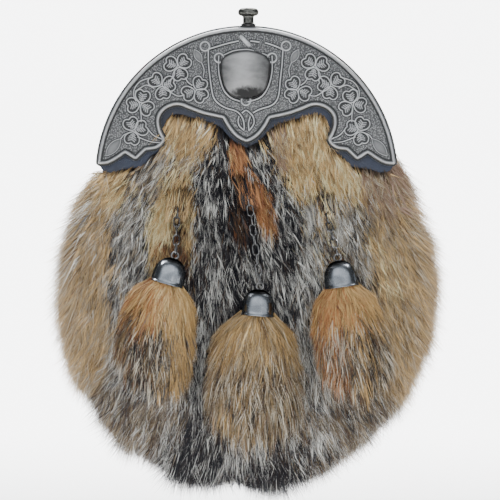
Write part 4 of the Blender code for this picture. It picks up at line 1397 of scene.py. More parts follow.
@dataclass(frozen=True)
class Chain:
    """The fine chain from the pelt to a tassel's cup, and the staple that holds it."""

    row: TasselRow
    link_length: float = 6.6
    link_width: float = 3.6
    wire_radius: float = 0.35
    wire_swell: float = 1.08
    most_twist: float = 14.0
    bite: float = 0.15
    gap: float = 0.3
    staple_wire: float = 0.45
    staple_half_width: float = 2.3
    staple_depth: float = 8.0

    def line(self) -> ChainLine:
        """How the chain runs from the cup's eye to the staple.

        Returns:
            The chain's line.
        """
        tilt = math.radians(self.row.tilt)
        axis = Vector((math.sin(tilt), 0, math.cos(tilt)))
        rim = Vector((self.row.rim_x, TASSEL_Y, self.row.rim_z))
        eye = rim + axis * (CUP_PROFILE[0].height + EYE_LIFT + EYE_RADIUS)
        up = (Vector(self.row.aim) - eye).normalized()
        pitch = self.link_length - 4 * self.wire_radius + self.bite
        first = eye + up * (self.gap + (self.link_length - self.link_width) / 2)
        end = first + up * (pitch * (self.row.links - 1) + self.link_length / 2 - self.wire_radius)
        return ChainLine(up, first, pitch, end - up * (self.wire_radius + self.staple_wire + self.gap))

    def link(self, middle: Vector, along: Vector, across: Vector) -> Object:
        """One oval link of round wire.

        Args:
            middle: the link's middle.
            along: the direction of its length.
            across: the direction of its width.

        Returns:
            The link.
        """
        half = self.link_width / 2 - self.wire_radius
        straight = self.link_length / 2 - self.wire_radius - half
        path = []
        for turn in turns(20, 0.5):
            shift = straight if math.sin(turn) > 0 else -straight
            path.append(middle + across * half * math.cos(turn) + along * (half * math.sin(turn) + shift))
        return wire("link", path, self.wire_radius * self.wire_swell, 8, True)

    def build(self, material: Material) -> None:
        """Makes the chain and its staple.

        Args:
            material: their finish.
        """
        up, first, pitch, staple = self.line()
        side = up.cross(Vector((0, 1, 0))).normalized()
        front = side.cross(up).normalized()
        links = []
        for index in range(self.row.links):
            across, other = (side, front) if index % 2 else (front, side)
            twist = math.radians(self.most_twist * math.sin(2.3 * index + self.row.rim_x))
            across = across * math.cos(twist) + other * math.sin(twist)
            links.append(self.link(first + up * pitch * index, up, across))
        chain = join_pieces(f"chain_links_{self.row.side}", links)
        finish_piece(chain, material, [f"chain_{self.row.side}"], 60.0)
        half = self.staple_half_width
        leg = ((half, self.staple_depth), (half, 0.9), (half - 0.3, 0.3), (half - 0.9, 0.0))
        bends = [(-x, y) for x, y in leg] + list(reversed(leg))
        path = [Vector((staple.x + x, staple.y + y, staple.z)) for x, y in bends]
        bent = wire(f"staple_wire_{self.row.side}", path, self.staple_wire, 8)
        finish_piece(bent, material, [f"chain_staple_{self.row.side}"], 60.0)


@dataclass(frozen=True)
class Cup:
    """The domed cup over a tassel, with its wire eye."""

    row: TasselRow
    sides: int = 72
    eye_wire: float = 0.5
    # How far up the cup's axis the painted shade on its crown begins and becomes full.
    black_from: float = 9.9
    black_to: float = 11.2

    def build(self, material: Material, dark: Material) -> None:
        """Turns the cup, paints shade on its crown, adds its eye and sets both in place.

        Args:
            material: the cup's finish.
            dark: the eye's finish.
        """
        cup = turned("cup", CUP_PROFILE, self.sides)
        # Painted shade: the crown is darkened to near black from black_from to black_to up the axis.
        black = cup.data.attributes.new("painted_shade", "FLOAT", "POINT")
        for vertex, value in zip(cup.data.vertices, black.data):
            value.value = np.interp(vertex.co.z / MM, (self.black_from, self.black_to), (0.0, 1.0))
        centre = Vector((0, 0, CUP_PROFILE[0].height + EYE_LIFT))
        ring = [centre + EYE_RADIUS * Vector((math.cos(t), 0, math.sin(t))) for t in turns(28)]
        eye = wire("eye", ring, self.eye_wire, 10, True)
        cup.data.materials.append(material)
        eye.data.materials.append(dark)
        whole = join_pieces(f"cup_{self.row.side}", [cup, eye])
        whole.location = (self.row.rim_x * MM, TASSEL_Y * MM, self.row.rim_z * MM)
        whole.rotation_euler = (0, math.radians(self.row.tilt), 0)
        finish_piece(whole, material, [f"tassel_cone_{self.row.side}"], 50.0)


@dataclass(frozen=True)
class BackLeather:
    """The leather that shows from behind: the back panel, its stitches and the two belt loops."""

    panel_back_y: float = -3.0
    panel_thickness: float = 2.5
    panel_top_z: float = 33.0
    stitch_inset: float = 4.0
    stitch_pitch: float = 4.2
    thread_radius: float = 0.3
    loop_x: float = 36.0
    loop_width: float = 18.0
    loop_thickness: float = 2.0
    loop_edge: float = 0.35

    def panel_outline(self, inset: float) -> list[Vector]:
        """The panel's outline, moved in by a distance.

        Args:
            inset: the distance.

        Returns:
            The outline's points, as X and Z.
        """
        top = self.panel_top_z - inset
        drop = top - FORM.arc_centre_z
        corner = math.sqrt((FORM.arc_radius - inset) ** 2 - drop**2)
        found = [Vector((corner, top))]
        for angle in np.arange(0.0, 360.0, 1.5):
            radius = float(FORM.radius(POUCH_OUTLINE, angle)) - inset
            z = FORM.middle_z + radius * math.cos(math.radians(angle))
            if z < top:
                found.append(Vector((radius * math.sin(math.radians(angle)), z)))
        return [*found, Vector((-corner, top))]

    def panel(self) -> Object:
        """The panel, rounded along its edge on the side that shows.

        Returns:
            The panel.
        """
        plate = raised_plate("back_leather", self.panel_outline(0.0), 0.0, -self.panel_thickness, PANEL_RIM)
        plate.data.transform(Matrix.Diagonal((1, -1, 1, 1)))
        plate.data.flip_normals()
        plate.location = (0, (self.panel_back_y - self.panel_thickness) * MM, 0)
        return plate

    def stitches(self) -> Object:
        """A row of thread stitches just inside the panel's edge.

        Returns:
            The stitches, as one piece.
        """
        loop = self.panel_outline(self.stitch_inset)
        loop.append(loop[0])
        lengths = [0.0]
        for first, second in zip(loop, loop[1:]):
            lengths.append(lengths[-1] + (second - first).length)
        count = round(lengths[-1] / self.stitch_pitch)
        places = np.arange(2 * count) * lengths[-1] / (2 * count)
        xs, zs = (np.interp(places, lengths, [point[axis] for point in loop]) for axis in (0, 1))
        ends = [Vector((x, self.panel_back_y, z)) for x, z in zip(xs, zs)]
        under, over = Vector((0, 0.3, 0)), Vector((0, 0.26, 0))
        threads = []
        for start, end in zip(ends[::2], ends[1::2]):
            along = (end - start) * 0.72
            path = [start - under, start + along * 0.25 + over, start + along + over,
                    start + along * 1.25 - under]
            threads.append(wire("stitch", path, self.thread_radius, 6))
        return join_pieces("back_stitches", threads)

    def loop(self, side: str, sign: int) -> Object:
        """A belt loop: a strap whose ends lie on the panel and whose middle stands off it.

        Args:
            side: the side's name.
            sign: -1 for the left loop and 1 for the right one.

        Returns:
            The loop.
        """
        line = smooth_curve([*LOOP_SIDE, *[(y, -z) for y, z in reversed(LOOP_SIDE)]], 1.2)
        outer, inner = [], []
        for index, point in enumerate(line):
            along = (line[min(index + 1, len(line) - 1)] - line[max(index - 1, 0)]).normalized()
            across = Vector((-along.y, along.x)) * self.loop_thickness / 2
            outer.append(point + across)
            inner.append(point - across)
        shape = outer + inner[::-1]
        count = len(shape)
        middle, half = sign * self.loop_x, self.loop_width / 2
        points = [(x, point.x, point.y) for x in (middle - half, middle + half) for point in shape]
        faces = [range(count), range(2 * count - 1, count - 1, -1)]
        faces += [(i, (i + 1) % count, count + (i + 1) % count, count + i) for i in range(count)]
        strap = mesh_object(f"strap_loop_{side}", points, faces)
        face_outwards(strap)
        bevel = strap.modifiers.new("edge", "BEVEL")
        bevel.width = self.loop_edge * MM
        bevel.segments = 2
        bevel.angle_limit = math.radians(50)
        apply_modifiers(strap)
        return strap

    def build(self) -> None:
        """Makes the pieces at the back and dresses the leather of the pouch."""
        hide = Leather("black_leather", linear(31, 29, 29), linear(20, 19, 19), 0.9, 0.6).material()
        thread = Leather("waxed_thread", linear(150, 140, 118), linear(110, 100, 84), 0.4, 0.7).material()
        finish_piece(self.panel(), hide, ["back_panel"])
        finish_piece(self.stitches(), thread, smooth_deg=60.0)
        for side, sign in (("left", -1), ("right", 1)):
            finish_piece(self.loop(side, sign), hide, [f"belt_loop_{side}"])
        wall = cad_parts["pouch_wall"]
        wall.data.materials.clear()
        wall.data.materials.append(hide)


# ---------------------------------------------------------------- hair


def often(**shares: float) -> dict[Shade, float]:
    """How often each shade comes among the hairs of a mix."""
    return {Shade[name]: share for name, share in shares.items()}


class Mix(Enum):
    """The kinds of coat: how often each shade comes in the long hair and in the undercoat."""

    TAN = (often(SAND=5, CREAM=3, WHEAT=4, KHAKI=1, UMBER=1), often(WHEAT=4, SAND=3, KHAKI=2))
    CREAMY = (often(CREAM=5, SAND=4, WHEAT=2), often(SAND=4, WHEAT=3))
    GRIZZLE = (often(FROST=6, ASH=3, SLATE=3, CHARCOAL=4, TAUPE=3, INK=3),
               often(SLATE=1, CHARCOAL=4, KHAKI=1, UMBER=2))
    PEPPER = (often(FROST=6, ASH=2, SLATE=2, CHARCOAL=5, INK=9, UMBER=1), often(INK=8, CHARCOAL=4, UMBER=1))
    # Near-black hair; round the cups it is painted shade.
    SABLE = (often(INK=7, CHARCOAL=4, FROST=1, PEAT=2), often(INK=6, PEAT=2))
    FOX = (often(AMBER=7, RUST=2, SAND=2, UMBER=1), often(RUST=4, AMBER=2, UMBER=2))
    DUSK = (often(MAUVE=6, KHAKI=3, DRIFT=2, UMBER=1), often(MAUVE=4, UMBER=1))
    BRUSH = (often(KHAKI=4, SAND=3, WHEAT=3, DRIFT=2, TAUPE=2, UMBER=2), often(KHAKI=4, UMBER=3, WHEAT=2))
    ASHEN = (often(TAUPE=4, DRIFT=1, SLATE=3, KHAKI=3, UMBER=4, FROST=1.5, CHARCOAL=5, INK=2),
             often(UMBER=4, CHARCOAL=4, INK=1))
    SILVER = (often(FROST=4, ASH=3, TAUPE=4, DRIFT=3, KHAKI=2, SLATE=2, CHARCOAL=2, INK=1),
              often(SLATE=2, KHAKI=2, UMBER=2, CHARCOAL=1))
    # Dark red-brown hair; round the cups it is painted shade.
    BARE = (often(PEAT=5, RUST=2, UMBER=3), often(PEAT=6, UMBER=1))


class Patch(NamedTuple):
    """A patch of the coat: its middle, its half sizes, its lean and how strongly it holds."""

    mix: Mix
    x: float
    z: float
    half_x: float
    half_z: float
    lean: float = 0.0
    weight: float = 1.0


# The dark patches just round the three cups, at (-39, -64), (-24, -74), (5, -86), (47, -66) and (57, -76),
# are painted shade: the cups' shadow on the fur.
PATCHES = rows(
    Patch, (Mix.TAN, -29, -4, 13, 13, -15), (Mix.SILVER, -47, -30, 8, 24, -42, 1.4),
    (Mix.GRIZZLE, -56, -62, 11, 30, -10), (Mix.TAN, -68, -28, 12, 8, -30, 1.1),
    (Mix.BRUSH, -82, -88, 13, 48, -8, 1.1), (Mix.SILVER, -84, -60, 7, 20, -14, 0.5),
    (Mix.CREAMY, -41.5, -48, 6, 18, -8, 2.4), (Mix.CREAMY, -37, -28, 6, 12, -16, 1.0),
    (Mix.BARE, -34.2, -44, 2.6, 19, 0, 3.2), (Mix.TAN, -29, -46, 3.2, 22, 2, 1.2),
    (Mix.PEPPER, -16, -50, 10, 44, 2, 1.2), (Mix.PEPPER, -17, -115, 12, 40, 0, 1.1),
    (Mix.SABLE, -10, -50, 3.6, 30, 3, 1.1), (Mix.SABLE, -11, -4, 4, 7, 10, 0.8),
    (Mix.FOX, -4.6, -17.5, 3.1, 9.5, 8, 3.2), (Mix.FOX, 8.2, -38, 4.0, 11, 20, 3.4),
    (Mix.BARE, -5, -46, 2.4, 12, 4, 0.6), (Mix.BARE, -39, -64, 10, 7, 0, 1.6),
    (Mix.SABLE, -24, -74, 5, 10, 10, 1.2), (Mix.SABLE, 5, -86, 12, 9, 0, 1.6),
    (Mix.BARE, 47, -66, 9, 7, 0, 1.0), (Mix.ASHEN, 40.0, -44, 2.4, 20, 9, 1.8),
    (Mix.SABLE, 57, -76, 4, 12, 0, 1.0), (Mix.SABLE, -12, -142, 5, 24, 4, 1.2),
    (Mix.SABLE, 3, -52, 3, 14, 4, 0.8), (Mix.PEPPER, 17, -40, 7, 26, 22, 1.2),
    (Mix.PEPPER, 16, -84, 12, 28, 4, 1.1), (Mix.SABLE, 18, -62, 3.5, 18, 10, 1.2),
    (Mix.TAN, 30, -10, 13, 18, 4, 1.3), (Mix.CREAMY, 38, -34, 7, 15, 6, 0.9),
    (Mix.DUSK, 18, -12, 5, 9, 12, 0.8), (Mix.CREAMY, 50, -28, 8, 9, 6, 0.7),
    (Mix.DUSK, 74, -26, 13, 14, 30, 1.6), (Mix.SILVER, 52, -58, 8, 24, 10, 0.8),
    (Mix.GRIZZLE, 52, -54, 6, 18, 14, 0.8), (Mix.GRIZZLE, 34, -60, 8, 24, 4, 0.9),
    (Mix.TAN, 38, -64, 3.5, 7, 0, 1.0), (Mix.BRUSH, 80, -92, 15, 46, 10, 1.2),
    (Mix.TAN, 70, -72, 8, 16, 12, 0.6), (Mix.GRIZZLE, 32, -110, 10, 34, 6, 0.9),
    (Mix.GRIZZLE, -50, -112, 14, 26, -8, 0.7), (Mix.ASHEN, -58, -148, 24, 16, -24, 1.1),
    (Mix.SABLE, -30, -174, 12, 8, -24, 3.2), (Mix.PEPPER, -40, -158, 20, 12, -16, 0.6),
    (Mix.SABLE, 0.6, -27, 1.3, 9, 17, 2.4), (Mix.SABLE, -24, -157, 7, 20, -8, 2.6),
    (Mix.PEPPER, -2, -168, 16, 14, 0, 1.2), (Mix.SABLE, 10, -174, 19, 8, 8, 3.2),
    (Mix.ASHEN, 50, -150, 22, 16, 22, 1.1), (Mix.PEPPER, 34, -160, 18, 12, 14, 0.6))


# Factors that make other numbers from a strand's own: whether it is like its lock, and how light it is.
LIKENESS = 7.31
LIGHTNESS = 3.17


def scrambled(strand: Array, factor: float) -> Array:
    """Another number of 0 to 1 for each strand, made from its own."""
    return (strand * factor) % 1


def near(rng: np.random.Generator, value: Array, spread: float) -> Array:
    """Numbers of 0 to 1 drawn near the given ones."""
    return np.clip(value + rng.normal(0, spread, len(value)), 0, 0.999)


def unit(vectors: Array, least: float = 0.0) -> Array:
    """Vectors brought to a length of one."""
    return vectors / (np.linalg.norm(vectors, axis=-1, keepdims=True) + least)


def turned_about(vectors: Array, axes: Array, degrees: Array) -> Array:
    """Vectors turned about unit axes.

    Args:
        vectors: the vectors.
        axes: the axis of each.
        degrees: the angle of each.

    Returns:
        The turned vectors.
    """
    cos, sin = (way(np.radians(degrees))[:, None] for way in (np.cos, np.sin))
    dot = np.sum(vectors * axes, axis=1, keepdims=True)
    return vectors * cos + np.cross(axes, vectors) * sin + axes * dot * (1 - cos)


def heading(degrees: Array) -> Array:
    """Directions on the front, as X and Z, from angles counted from straight down towards +X."""
    turn = np.radians(degrees)
    return np.stack([np.sin(turn), -np.cos(turn)], 1)


def lumps(angle: Array) -> Array:
    """How far the fur stands out past its plain outline, at angles clockwise from the top."""
    return sum(lump.size * np.exp(-(((angle - lump.angle) / lump.half) ** 2)) for lump in LUMPS)


def inside(outline: Sequence[Vector], x: Array, z: Array) -> Array:
    """Whether points lie inside an outline.

    Args:
        outline: the closed outline's points.
        x: the points' X.
        z: their height.

    Returns:
        True where a point lies inside.
    """
    found = np.zeros(len(x), bool)
    for first, second in zip(outline, [*outline[1:], outline[0]]):
        crosses = (first.y > z) != (second.y > z)
        rise = (second.y - first.y) or 1e-9
        found ^= crosses & (x < (second.x - first.x) * (z - first.y) / rise + first.x)
    return found


# The parting in which a chain lies: its half width, its depth behind the chain, and its sides' slope.
PARTING_HALF = 4.6
PARTING_DEPTH = 1.6
PARTING_SLOPE = 0.5
FRONT_LIMIT = -60.0


def chain_floor(x: Array, z: Array) -> Array:
    """How far to the front hair may stand without covering a chain: the chain lies in a parting.

    Args:
        x: the points' X.
        z: their height.

    Returns:
        The least Y that hair may have there.
    """
    floor = np.full(len(x), FRONT_LIMIT)
    for row in TASSELS:
        line = Chain(row).line()
        start = line.first - line.up * 6.0
        run = line.staple - line.up * 3.5 - start
        part = np.clip(((x - start.x) * run.x + (z - start.z) * run.z) / (run.x**2 + run.z**2), 0, 1)
        away = np.hypot(x - start.x - run.x * part, z - start.z - run.z * part)
        behind = start.y + run.y * part + PARTING_DEPTH - PARTING_SLOPE * away
        floor = np.where(away < PARTING_HALF, np.maximum(floor, behind), floor)
    return floor


# A strand's half width on its map and the map's margin at both ends; its width from root to tip.
MAP_HALF_WIDTH = 0.0015
MAP_EDGE = 0.004
TAPER = ((0, 0.3, 0.7, 1), (0.3, 1.0, 0.72, 0.0))


@dataclass
class Strands:
    """Hairs laid out for one piece: their points from root to tip, their faces' ways and their shades."""

    points: Array
    facing: Array
    half_width: Array
    kind: Array

    def piece(self, name: str) -> Object:
        """Makes a mesh of flat tapering hairs, each with its shade across the map and its run along it.

        Args:
            name: the piece's name.

        Returns:
            The piece.
        """
        count, stations, _ = self.points.shape
        across = unit(np.cross(np.gradient(self.points, axis=1), self.facing[:, None, :]), 1e-9)
        share = np.linspace(0, 1, stations)
        taper = np.interp(share, *TAPER)
        width = across * self.half_width[:, None, None] * taper[None, :, None]
        sides = np.stack([self.points - width, self.points + width], axis=2)[:, :-1]
        points = np.concatenate([sides.reshape(count, -1, 3), self.points[:, -1:]], axis=1)
        per, last = 2 * stations - 1, 2 * stations - 4
        corners = [low + step for low in range(0, last, 2) for step in (0, 2, 3, 1)]
        corners = np.array([*corners, last, last + 2, last + 1])
        loops = (np.arange(count)[:, None] * per + corners).ravel()
        sizes = [4] * (stations - 2) + [3]
        starts = np.concatenate([[0], np.cumsum(np.tile(sizes, count))[:-1]])
        mesh = bpy.data.meshes.new(name)
        mesh.vertices.add(count * per)
        mesh.vertices.foreach_set("co", (points * MM).astype(np.float32).ravel())
        mesh.loops.add(len(loops))
        mesh.loops.foreach_set("vertex_index", loops.astype(np.int32))
        mesh.polygons.add(len(starts))
        mesh.polygons.foreach_set("loop_start", starts.astype(np.int32))
        mesh.polygons.foreach_set("use_smooth", np.ones(len(starts), bool))
        layer = mesh.uv_layers.new(name=STRAND_MAP)
        spots = np.empty((count, len(corners), 2), np.float32)
        side = np.append(np.tile([-1.0, 1.0], stations - 1), 0.0)[corners]
        run = np.append(np.repeat(share[:-1], 2), 1.0)[corners]
        spots[..., 0] = self.kind[:, None] + side * MAP_HALF_WIDTH
        spots[..., 1] = MAP_EDGE + (1 - 2 * MAP_EDGE) * run
        layer.data.foreach_set("uv", spots.ravel())
        mesh.update(calc_edges=True)
        return add_object(name, mesh)


class Locks:
    """Hairs that lie in locks, and in locks by strands of a few hairs that are alike."""

    def __init__(self, rng: np.random.Generator, hairs: int, lock_size: int, strand_size: int) -> None:
        """Counts the locks, the strands and the hairs of whole locks.

        Args:
            rng: what draws the numbers.
            hairs: the most hairs there may be.
            lock_size: how many hairs a lock has.
            strand_size: how many a strand has.
        """
        self.rng = rng
        self.count = hairs // lock_size
        self.of = np.repeat(np.arange(self.count), lock_size)
        self.hairs = len(self.of)
        self.strand_of = np.arange(self.hairs) // strand_size
        self.strands = self.strand_of[-1] + 1

    def lock(self, middle: float, spread: float) -> Array:
        """A normal draw for each lock, given to its hairs."""
        return self.rng.normal(middle, spread, self.count)[self.of]

    def lock_even(self, low: float = 0.0, high: float = 1.0) -> Array:
        """An even draw for each lock, given to its hairs."""
        return self.rng.uniform(low, high, self.count)[self.of]

    def strand(self, middle: float, spread: float, *wide: int) -> Array:
        """A normal draw for each strand, given to its hairs."""
        return self.rng.normal(middle, spread, (self.strands, *wide))[self.strand_of]

    def strand_even(self, low: float = 0.0, high: float = 1.0) -> Array:
        """An even draw for each strand, given to its hairs."""
        return self.rng.uniform(low, high, self.strands)[self.strand_of]

    def hair(self, middle: float, spread: float, *wide: int) -> Array:
        """A normal draw for each hair."""
        return self.rng.normal(middle, spread, (self.hairs, *wide))

    def width(self, middle: float, low: float, high: float) -> Array:
        """The hairs' half widths."""
        return np.clip(self.hair(middle, 0.035), low, high)


@dataclass
class Coat:
    """The fur over the pouch: a dark undercoat, long hair in locks, a hanging fringe and its under-layer."""

    rng: np.random.Generator
    long_count: int = 150000
    under_count: int = 25000
    fringe_count: int = 33000
    fringe_under_count: int = 6000
    cover_count: int = 720
    lock_size: int = 15
    fringe_lock_size: int = 12
    strand_size: int = 3
    lock_radius: float = 1.1
    drawn_together: float = 0.6
    board_front: float = -21.1
    wave_lengths: tuple[float, ...] = (6.5, 7.7, 9.2, 11.0, 14.0, 18.0)
    board: list[Vector] = field(init=False)
    waves: list[Triple] = field(init=False)

    def __post_init__(self) -> None:
        """Lays out the board's edge and draws the waves of the pattern of locks."""
        self.board = CantleBoard().outline(3.0)
        draw = self.rng.uniform
        self.waves = [(wave, draw(0, math.pi), draw(0, 2 * math.pi)) for wave in self.wave_lengths]

    def flow(self, x: Array, z: Array) -> Array:
        """The hair's lean at points of the front, from the rows nearest to them.

        Args:
            x: the points' X.
            z: their height.

        Returns:
            The lean in degrees, from straight down towards +X.
        """
        total, lean = np.zeros(len(x)), np.zeros(len(x))
        for row in FLOW_ROWS:
            away = ((x - row.x) ** 2 + (z - row.z) ** 2) / (2 * FLOW_SIGMA**2)
            weight = np.exp(-away) + 1e-6 / (1 + away)
            total += weight
            lean += weight * row.lean
        return lean / total

    def kinds(self, x: Array, z: Array, part: int, lock: Array, strand: Array) -> Array:
        """The place across the map for hairs at points of the front.

        Args:
            x: where each hair shows.
            z: its height.
            part: 0 for long hair and 1 for the undercoat.
            lock: a number of 0 to 1 that the hairs of one lock share.
            strand: a number of 0 to 1 that the few hairs of one strand share.

        Returns:
            The place from 0 to 1.
        """
        weights = np.full((len(PATCHES), len(x)), 1e-6)
        for index, patch in enumerate(PATCHES):
            turn = math.radians(patch.lean)
            side = (x - patch.x) * math.cos(turn) + (z - patch.z) * math.sin(turn)
            run = -(x - patch.x) * math.sin(turn) + (z - patch.z) * math.cos(turn)
            away = (side / patch.half_x) ** 2 + (run / patch.half_z) ** 2
            weights[index] += patch.weight * np.exp(-1.1 * away**1.3) + 0.02 * np.exp(-0.35 * away)
        share = np.cumsum(weights / weights.sum(axis=0), axis=0)
        chosen = (share < np.clip(0.7 * lock + 0.3 * strand, 0, 0.9999)).sum(axis=0)
        place = np.zeros(len(x))
        for index, patch in enumerate(PATCHES):
            mask = chosen == index
            if mask.any():
                place[mask] = self.shades(patch.mix.value[part], lock[mask], strand[mask])
        return place

    def shades(self, weights: dict[Shade, float], lock: Array, strand: Array) -> Array:
        """Draws hairs of a mix: some are as bright as their lock, and the rest are alike by strands.

        Args:
            weights: how often each shade comes.
            lock: a number of 0 to 1 for each hair's lock.
            strand: one for its strand.

        Returns:
            The hairs' places across the map.
        """
        shades = sorted(weights, key=lambda shade: shade.brightness)
        share = np.cumsum([weights[shade] for shade in shades]) / sum(weights.values())
        like, own = near(self.rng, lock, 0.1), near(self.rng, strand, 0.04)
        draw = np.where(scrambled(strand, LIKENESS) < 0.3, like, own)
        chosen = np.minimum(np.searchsorted(share, draw), len(shades) - 1)
        within = 0.3 * lock + 0.4 * scrambled(strand, LIGHTNESS) + 0.3 * self.rng.random(len(lock))
        return shade_place(shades, chosen, within)

    def tone(self, x: Array, z: Array) -> Array:
        """A soft random pattern of light and dark locks, from 0 to 1.

        Args:
            x: the points' X.
            z: their height.

        Returns:
            The pattern there.
        """
        total = np.zeros(len(x))
        for wave, turn, start in self.waves:
            total += np.sin((x * math.cos(turn) + 0.55 * z * math.sin(turn)) * 2 * math.pi / wave + start)
        return 0.5 + 0.5 * np.tanh(0.36 * total)

    def roots(self, count: int, reach: float) -> tuple[Array, Array]:
        """Spots on the front and a little way over the board's lower edge, furthest at its two arches.

        Args:
            count: how many spots.
            reach: how far out they may be, as a part of the pouch's radius.

        Returns:
            Their X and their height.
        """
        xs, zs = [], []
        while sum(map(len, xs)) < count:
            x = self.rng.uniform(-86, 86, count)
            z = self.rng.uniform(-172, 12, count)
            over = np.where((np.abs(np.abs(x) - 32) < 13) & (z > -7), 0.8, 0.3)
            keep = (FORM.reach(x, z) < reach) & ~inside(self.board, x, z - over)
            keep &= (z < -9) | (np.abs(x) < 39.5)
            xs.append(x[keep])
            zs.append(z[keep])
        return np.concatenate(xs)[:count], np.concatenate(zs)[:count]

    def long_hair(self, count: int) -> Strands:
        """Long hair in locks that draw together towards their tips.

        Args:
            count: how many hairs to lay.

        Returns:
            The hairs.
        """
        locks = Locks(self.rng, count, self.lock_size, self.strand_size)
        lock_x, lock_z = self.roots(locks.count, 0.985)
        strand = locks.strand_even()
        off = locks.strand(0, self.lock_radius, 2) + locks.hair(0, 0.24, 2)
        here = np.stack([lock_x, lock_z], 1)[locks.of] + off
        here[:, 1] -= np.where(inside(self.board, here[:, 0], here[:, 1] - 1.5), 2.2, 0.0)
        belly = np.clip((here[:, 1] + 10) / -110, 0, 1)
        lean = locks.lock(0, 10)
        tone = np.clip(self.tone(lock_x, lock_z)[locks.of] + locks.lock(0, 0.2), 0, 1)
        length = (9.5 + 6.5 * belly) * locks.lock(1, 0.16)
        lift = (4.4 + 2.4 * belly) * locks.lock(1, 0.25)
        length = length * locks.strand(1, 0.14)
        length = np.clip(length * locks.hair(1, 0.08), 5, 26)
        lean = lean + locks.strand(0, 7) + locks.hair(0, 2.5)
        curl = locks.strand(0, 12) + locks.hair(0, 5)
        lift = np.clip(lift * locks.strand(1, 0.25), 1.2, 9)
        path = []
        gone = 0.0
        for share in (0.0, 0.5, 1.0):
            if share:
                way = heading(self.flow(*here.T) + lean + curl * (share - 0.4))
                here = here + way * ((share - gone) * length)[:, None]
                gone = share
            draw = here - off * self.drawn_together * share**1.5
            reach = FORM.reach(*draw.T, FUR_OUTLINE)
            limit = 0.995 + 0.03 * tone + np.minimum(lumps(FORM.angle(*draw.T) % 360), 0) / 100
            pull = np.where(reach > limit, limit / np.maximum(reach, 1e-6), 1.0)
            x = draw[:, 0] * pull
            z = FORM.middle_z + (draw[:, 1] - FORM.middle_z) * pull
            y = np.maximum(FORM.front_y(x, z) - (0.5 + lift * share**0.7), chain_floor(x, z))
            y = np.where(inside(self.board, x, z), np.minimum(y, self.board_front - 0.3 - 1.4 * share), y)
            path.append(np.stack([x, y, z], 1))
        path = np.stack(path, 1)
        blur = locks.strand(0, 0.9, 2)
        kind = self.kinds(path[:, 1, 0] + blur[:, 0], path[:, 1, 2] + 2 * blur[:, 1], 0, tone, strand)
        width = locks.width(0.152, 0.08, 0.24)
        return Strands(path, self.facings(path, 32), width, kind)

    def undercoat(self, count: int) -> Strands:
        """Short broad hair that closes the coat below the long hair.

        Args:
            count: how many hairs to lay.

        Returns:
            The hairs.
        """
        rng = self.rng
        x, z = self.roots(count, 0.995)
        length = rng.uniform(9, 14, count)
        side, rise = heading(self.flow(x, z) + rng.normal(0, 12, count)).T * length
        lift = rng.uniform(2.0, 4.6, count)
        path = []
        for share in (0.0, 0.45, 1.0):
            px, pz = x + side * share, z + rise * share
            path.append(np.stack([px, FORM.front_y(px, pz) - 0.4 - lift * share**0.7, pz], 1))
        path = np.stack(path, 1)
        kind = self.kinds(path[:, 1, 0], path[:, 1, 2], 1, rng.random(count), rng.random(count))
        width = rng.uniform(0.5, 0.85, count)
        return Strands(path, self.facings(path, 20), width, kind)

    def fringe(self, hairs: int, under: bool = False) -> Strands:
        """Hair from the gusset, which stands out round the pouch and hangs past its edge.

        Args:
            hairs: how many hairs to lay.
            under: whether they are the short broad ones that close the fringe.

        Returns:
            The hairs.
        """
        locks = Locks(self.rng, hairs, self.fringe_lock_size, self.strand_size)
        angle, y = locks.lock_even(57, 297), locks.lock_even(-24.5, -6.6)
        strand = locks.strand_even()
        angle = angle + locks.strand(0, 1.1) + locks.hair(0, 0.15)
        y = np.clip(y + locks.hair(0, 1.3), -25.5, -6.2)
        turn = np.radians(angle)
        radial = np.stack([np.sin(turn), np.cos(turn)], 1)
        back = np.clip((y + 13.0) / 7.0, 0, 1)
        base = FORM.radius(POUCH_OUTLINE, angle) - 1.0 - 3.5 * np.clip((-y - 15) / 9, 0, 1)
        root = radial * base[:, None] + np.array([0, FORM.middle_z])
        y = np.maximum(y, FORM.front_y(*root.T) - 1.0)
        lean = self.flow(*root.T) + locks.lock(0, 12)
        down = heading(lean + (locks.strand(0, 9) + locks.hair(0, 7)))
        bend = radial * locks.strand_even(0.25, 0.7)[:, None]
        shares = (0.0, 0.45, 1.0)
        travel = [down * s * s + (bend + down * 0.25) * s * (1.2 - 0.55 * s) for s in shares]
        target = self.fringe_edge(locks, angle, under) - 4.0 * back * self.rng.random(locks.hairs)
        longest = 17 + 15 * np.clip((from_top(angle) - 70) / 60, 0, 1)
        size = self.sizes_to_reach(root, travel[-1], base, target, longest)
        drift = locks.hair(0.5, 2.0) + 2.2 * back
        path = []
        for share, way in zip(shares, travel):
            spot = root + way * size[:, None]
            depth = np.minimum(y - 2.0 * math.sin(math.pi * share) + drift * share, -1.0)
            path.append(np.stack([spot[:, 0], depth, spot[:, 1]], 1))
        path = np.stack(path, 1)
        x, _, z = (path[:, 1] + path[:, 2]).T / 2
        tone = np.clip(self.tone(x, z) + locks.lock(0, 0.25), 0, 1)
        kind = self.kinds(x, z, int(under), tone, strand)
        width = locks.width(0.14, 0.07, 0.22) * (4.5 if under else 1.0)
        facing = np.stack([radial[:, 0] * 0.5, np.where(y < -14, -1.0, -0.3), radial[:, 1] * 0.5], 1)
        return Strands(path, self.rolled(path, facing, 24 if under else 40), width, kind)

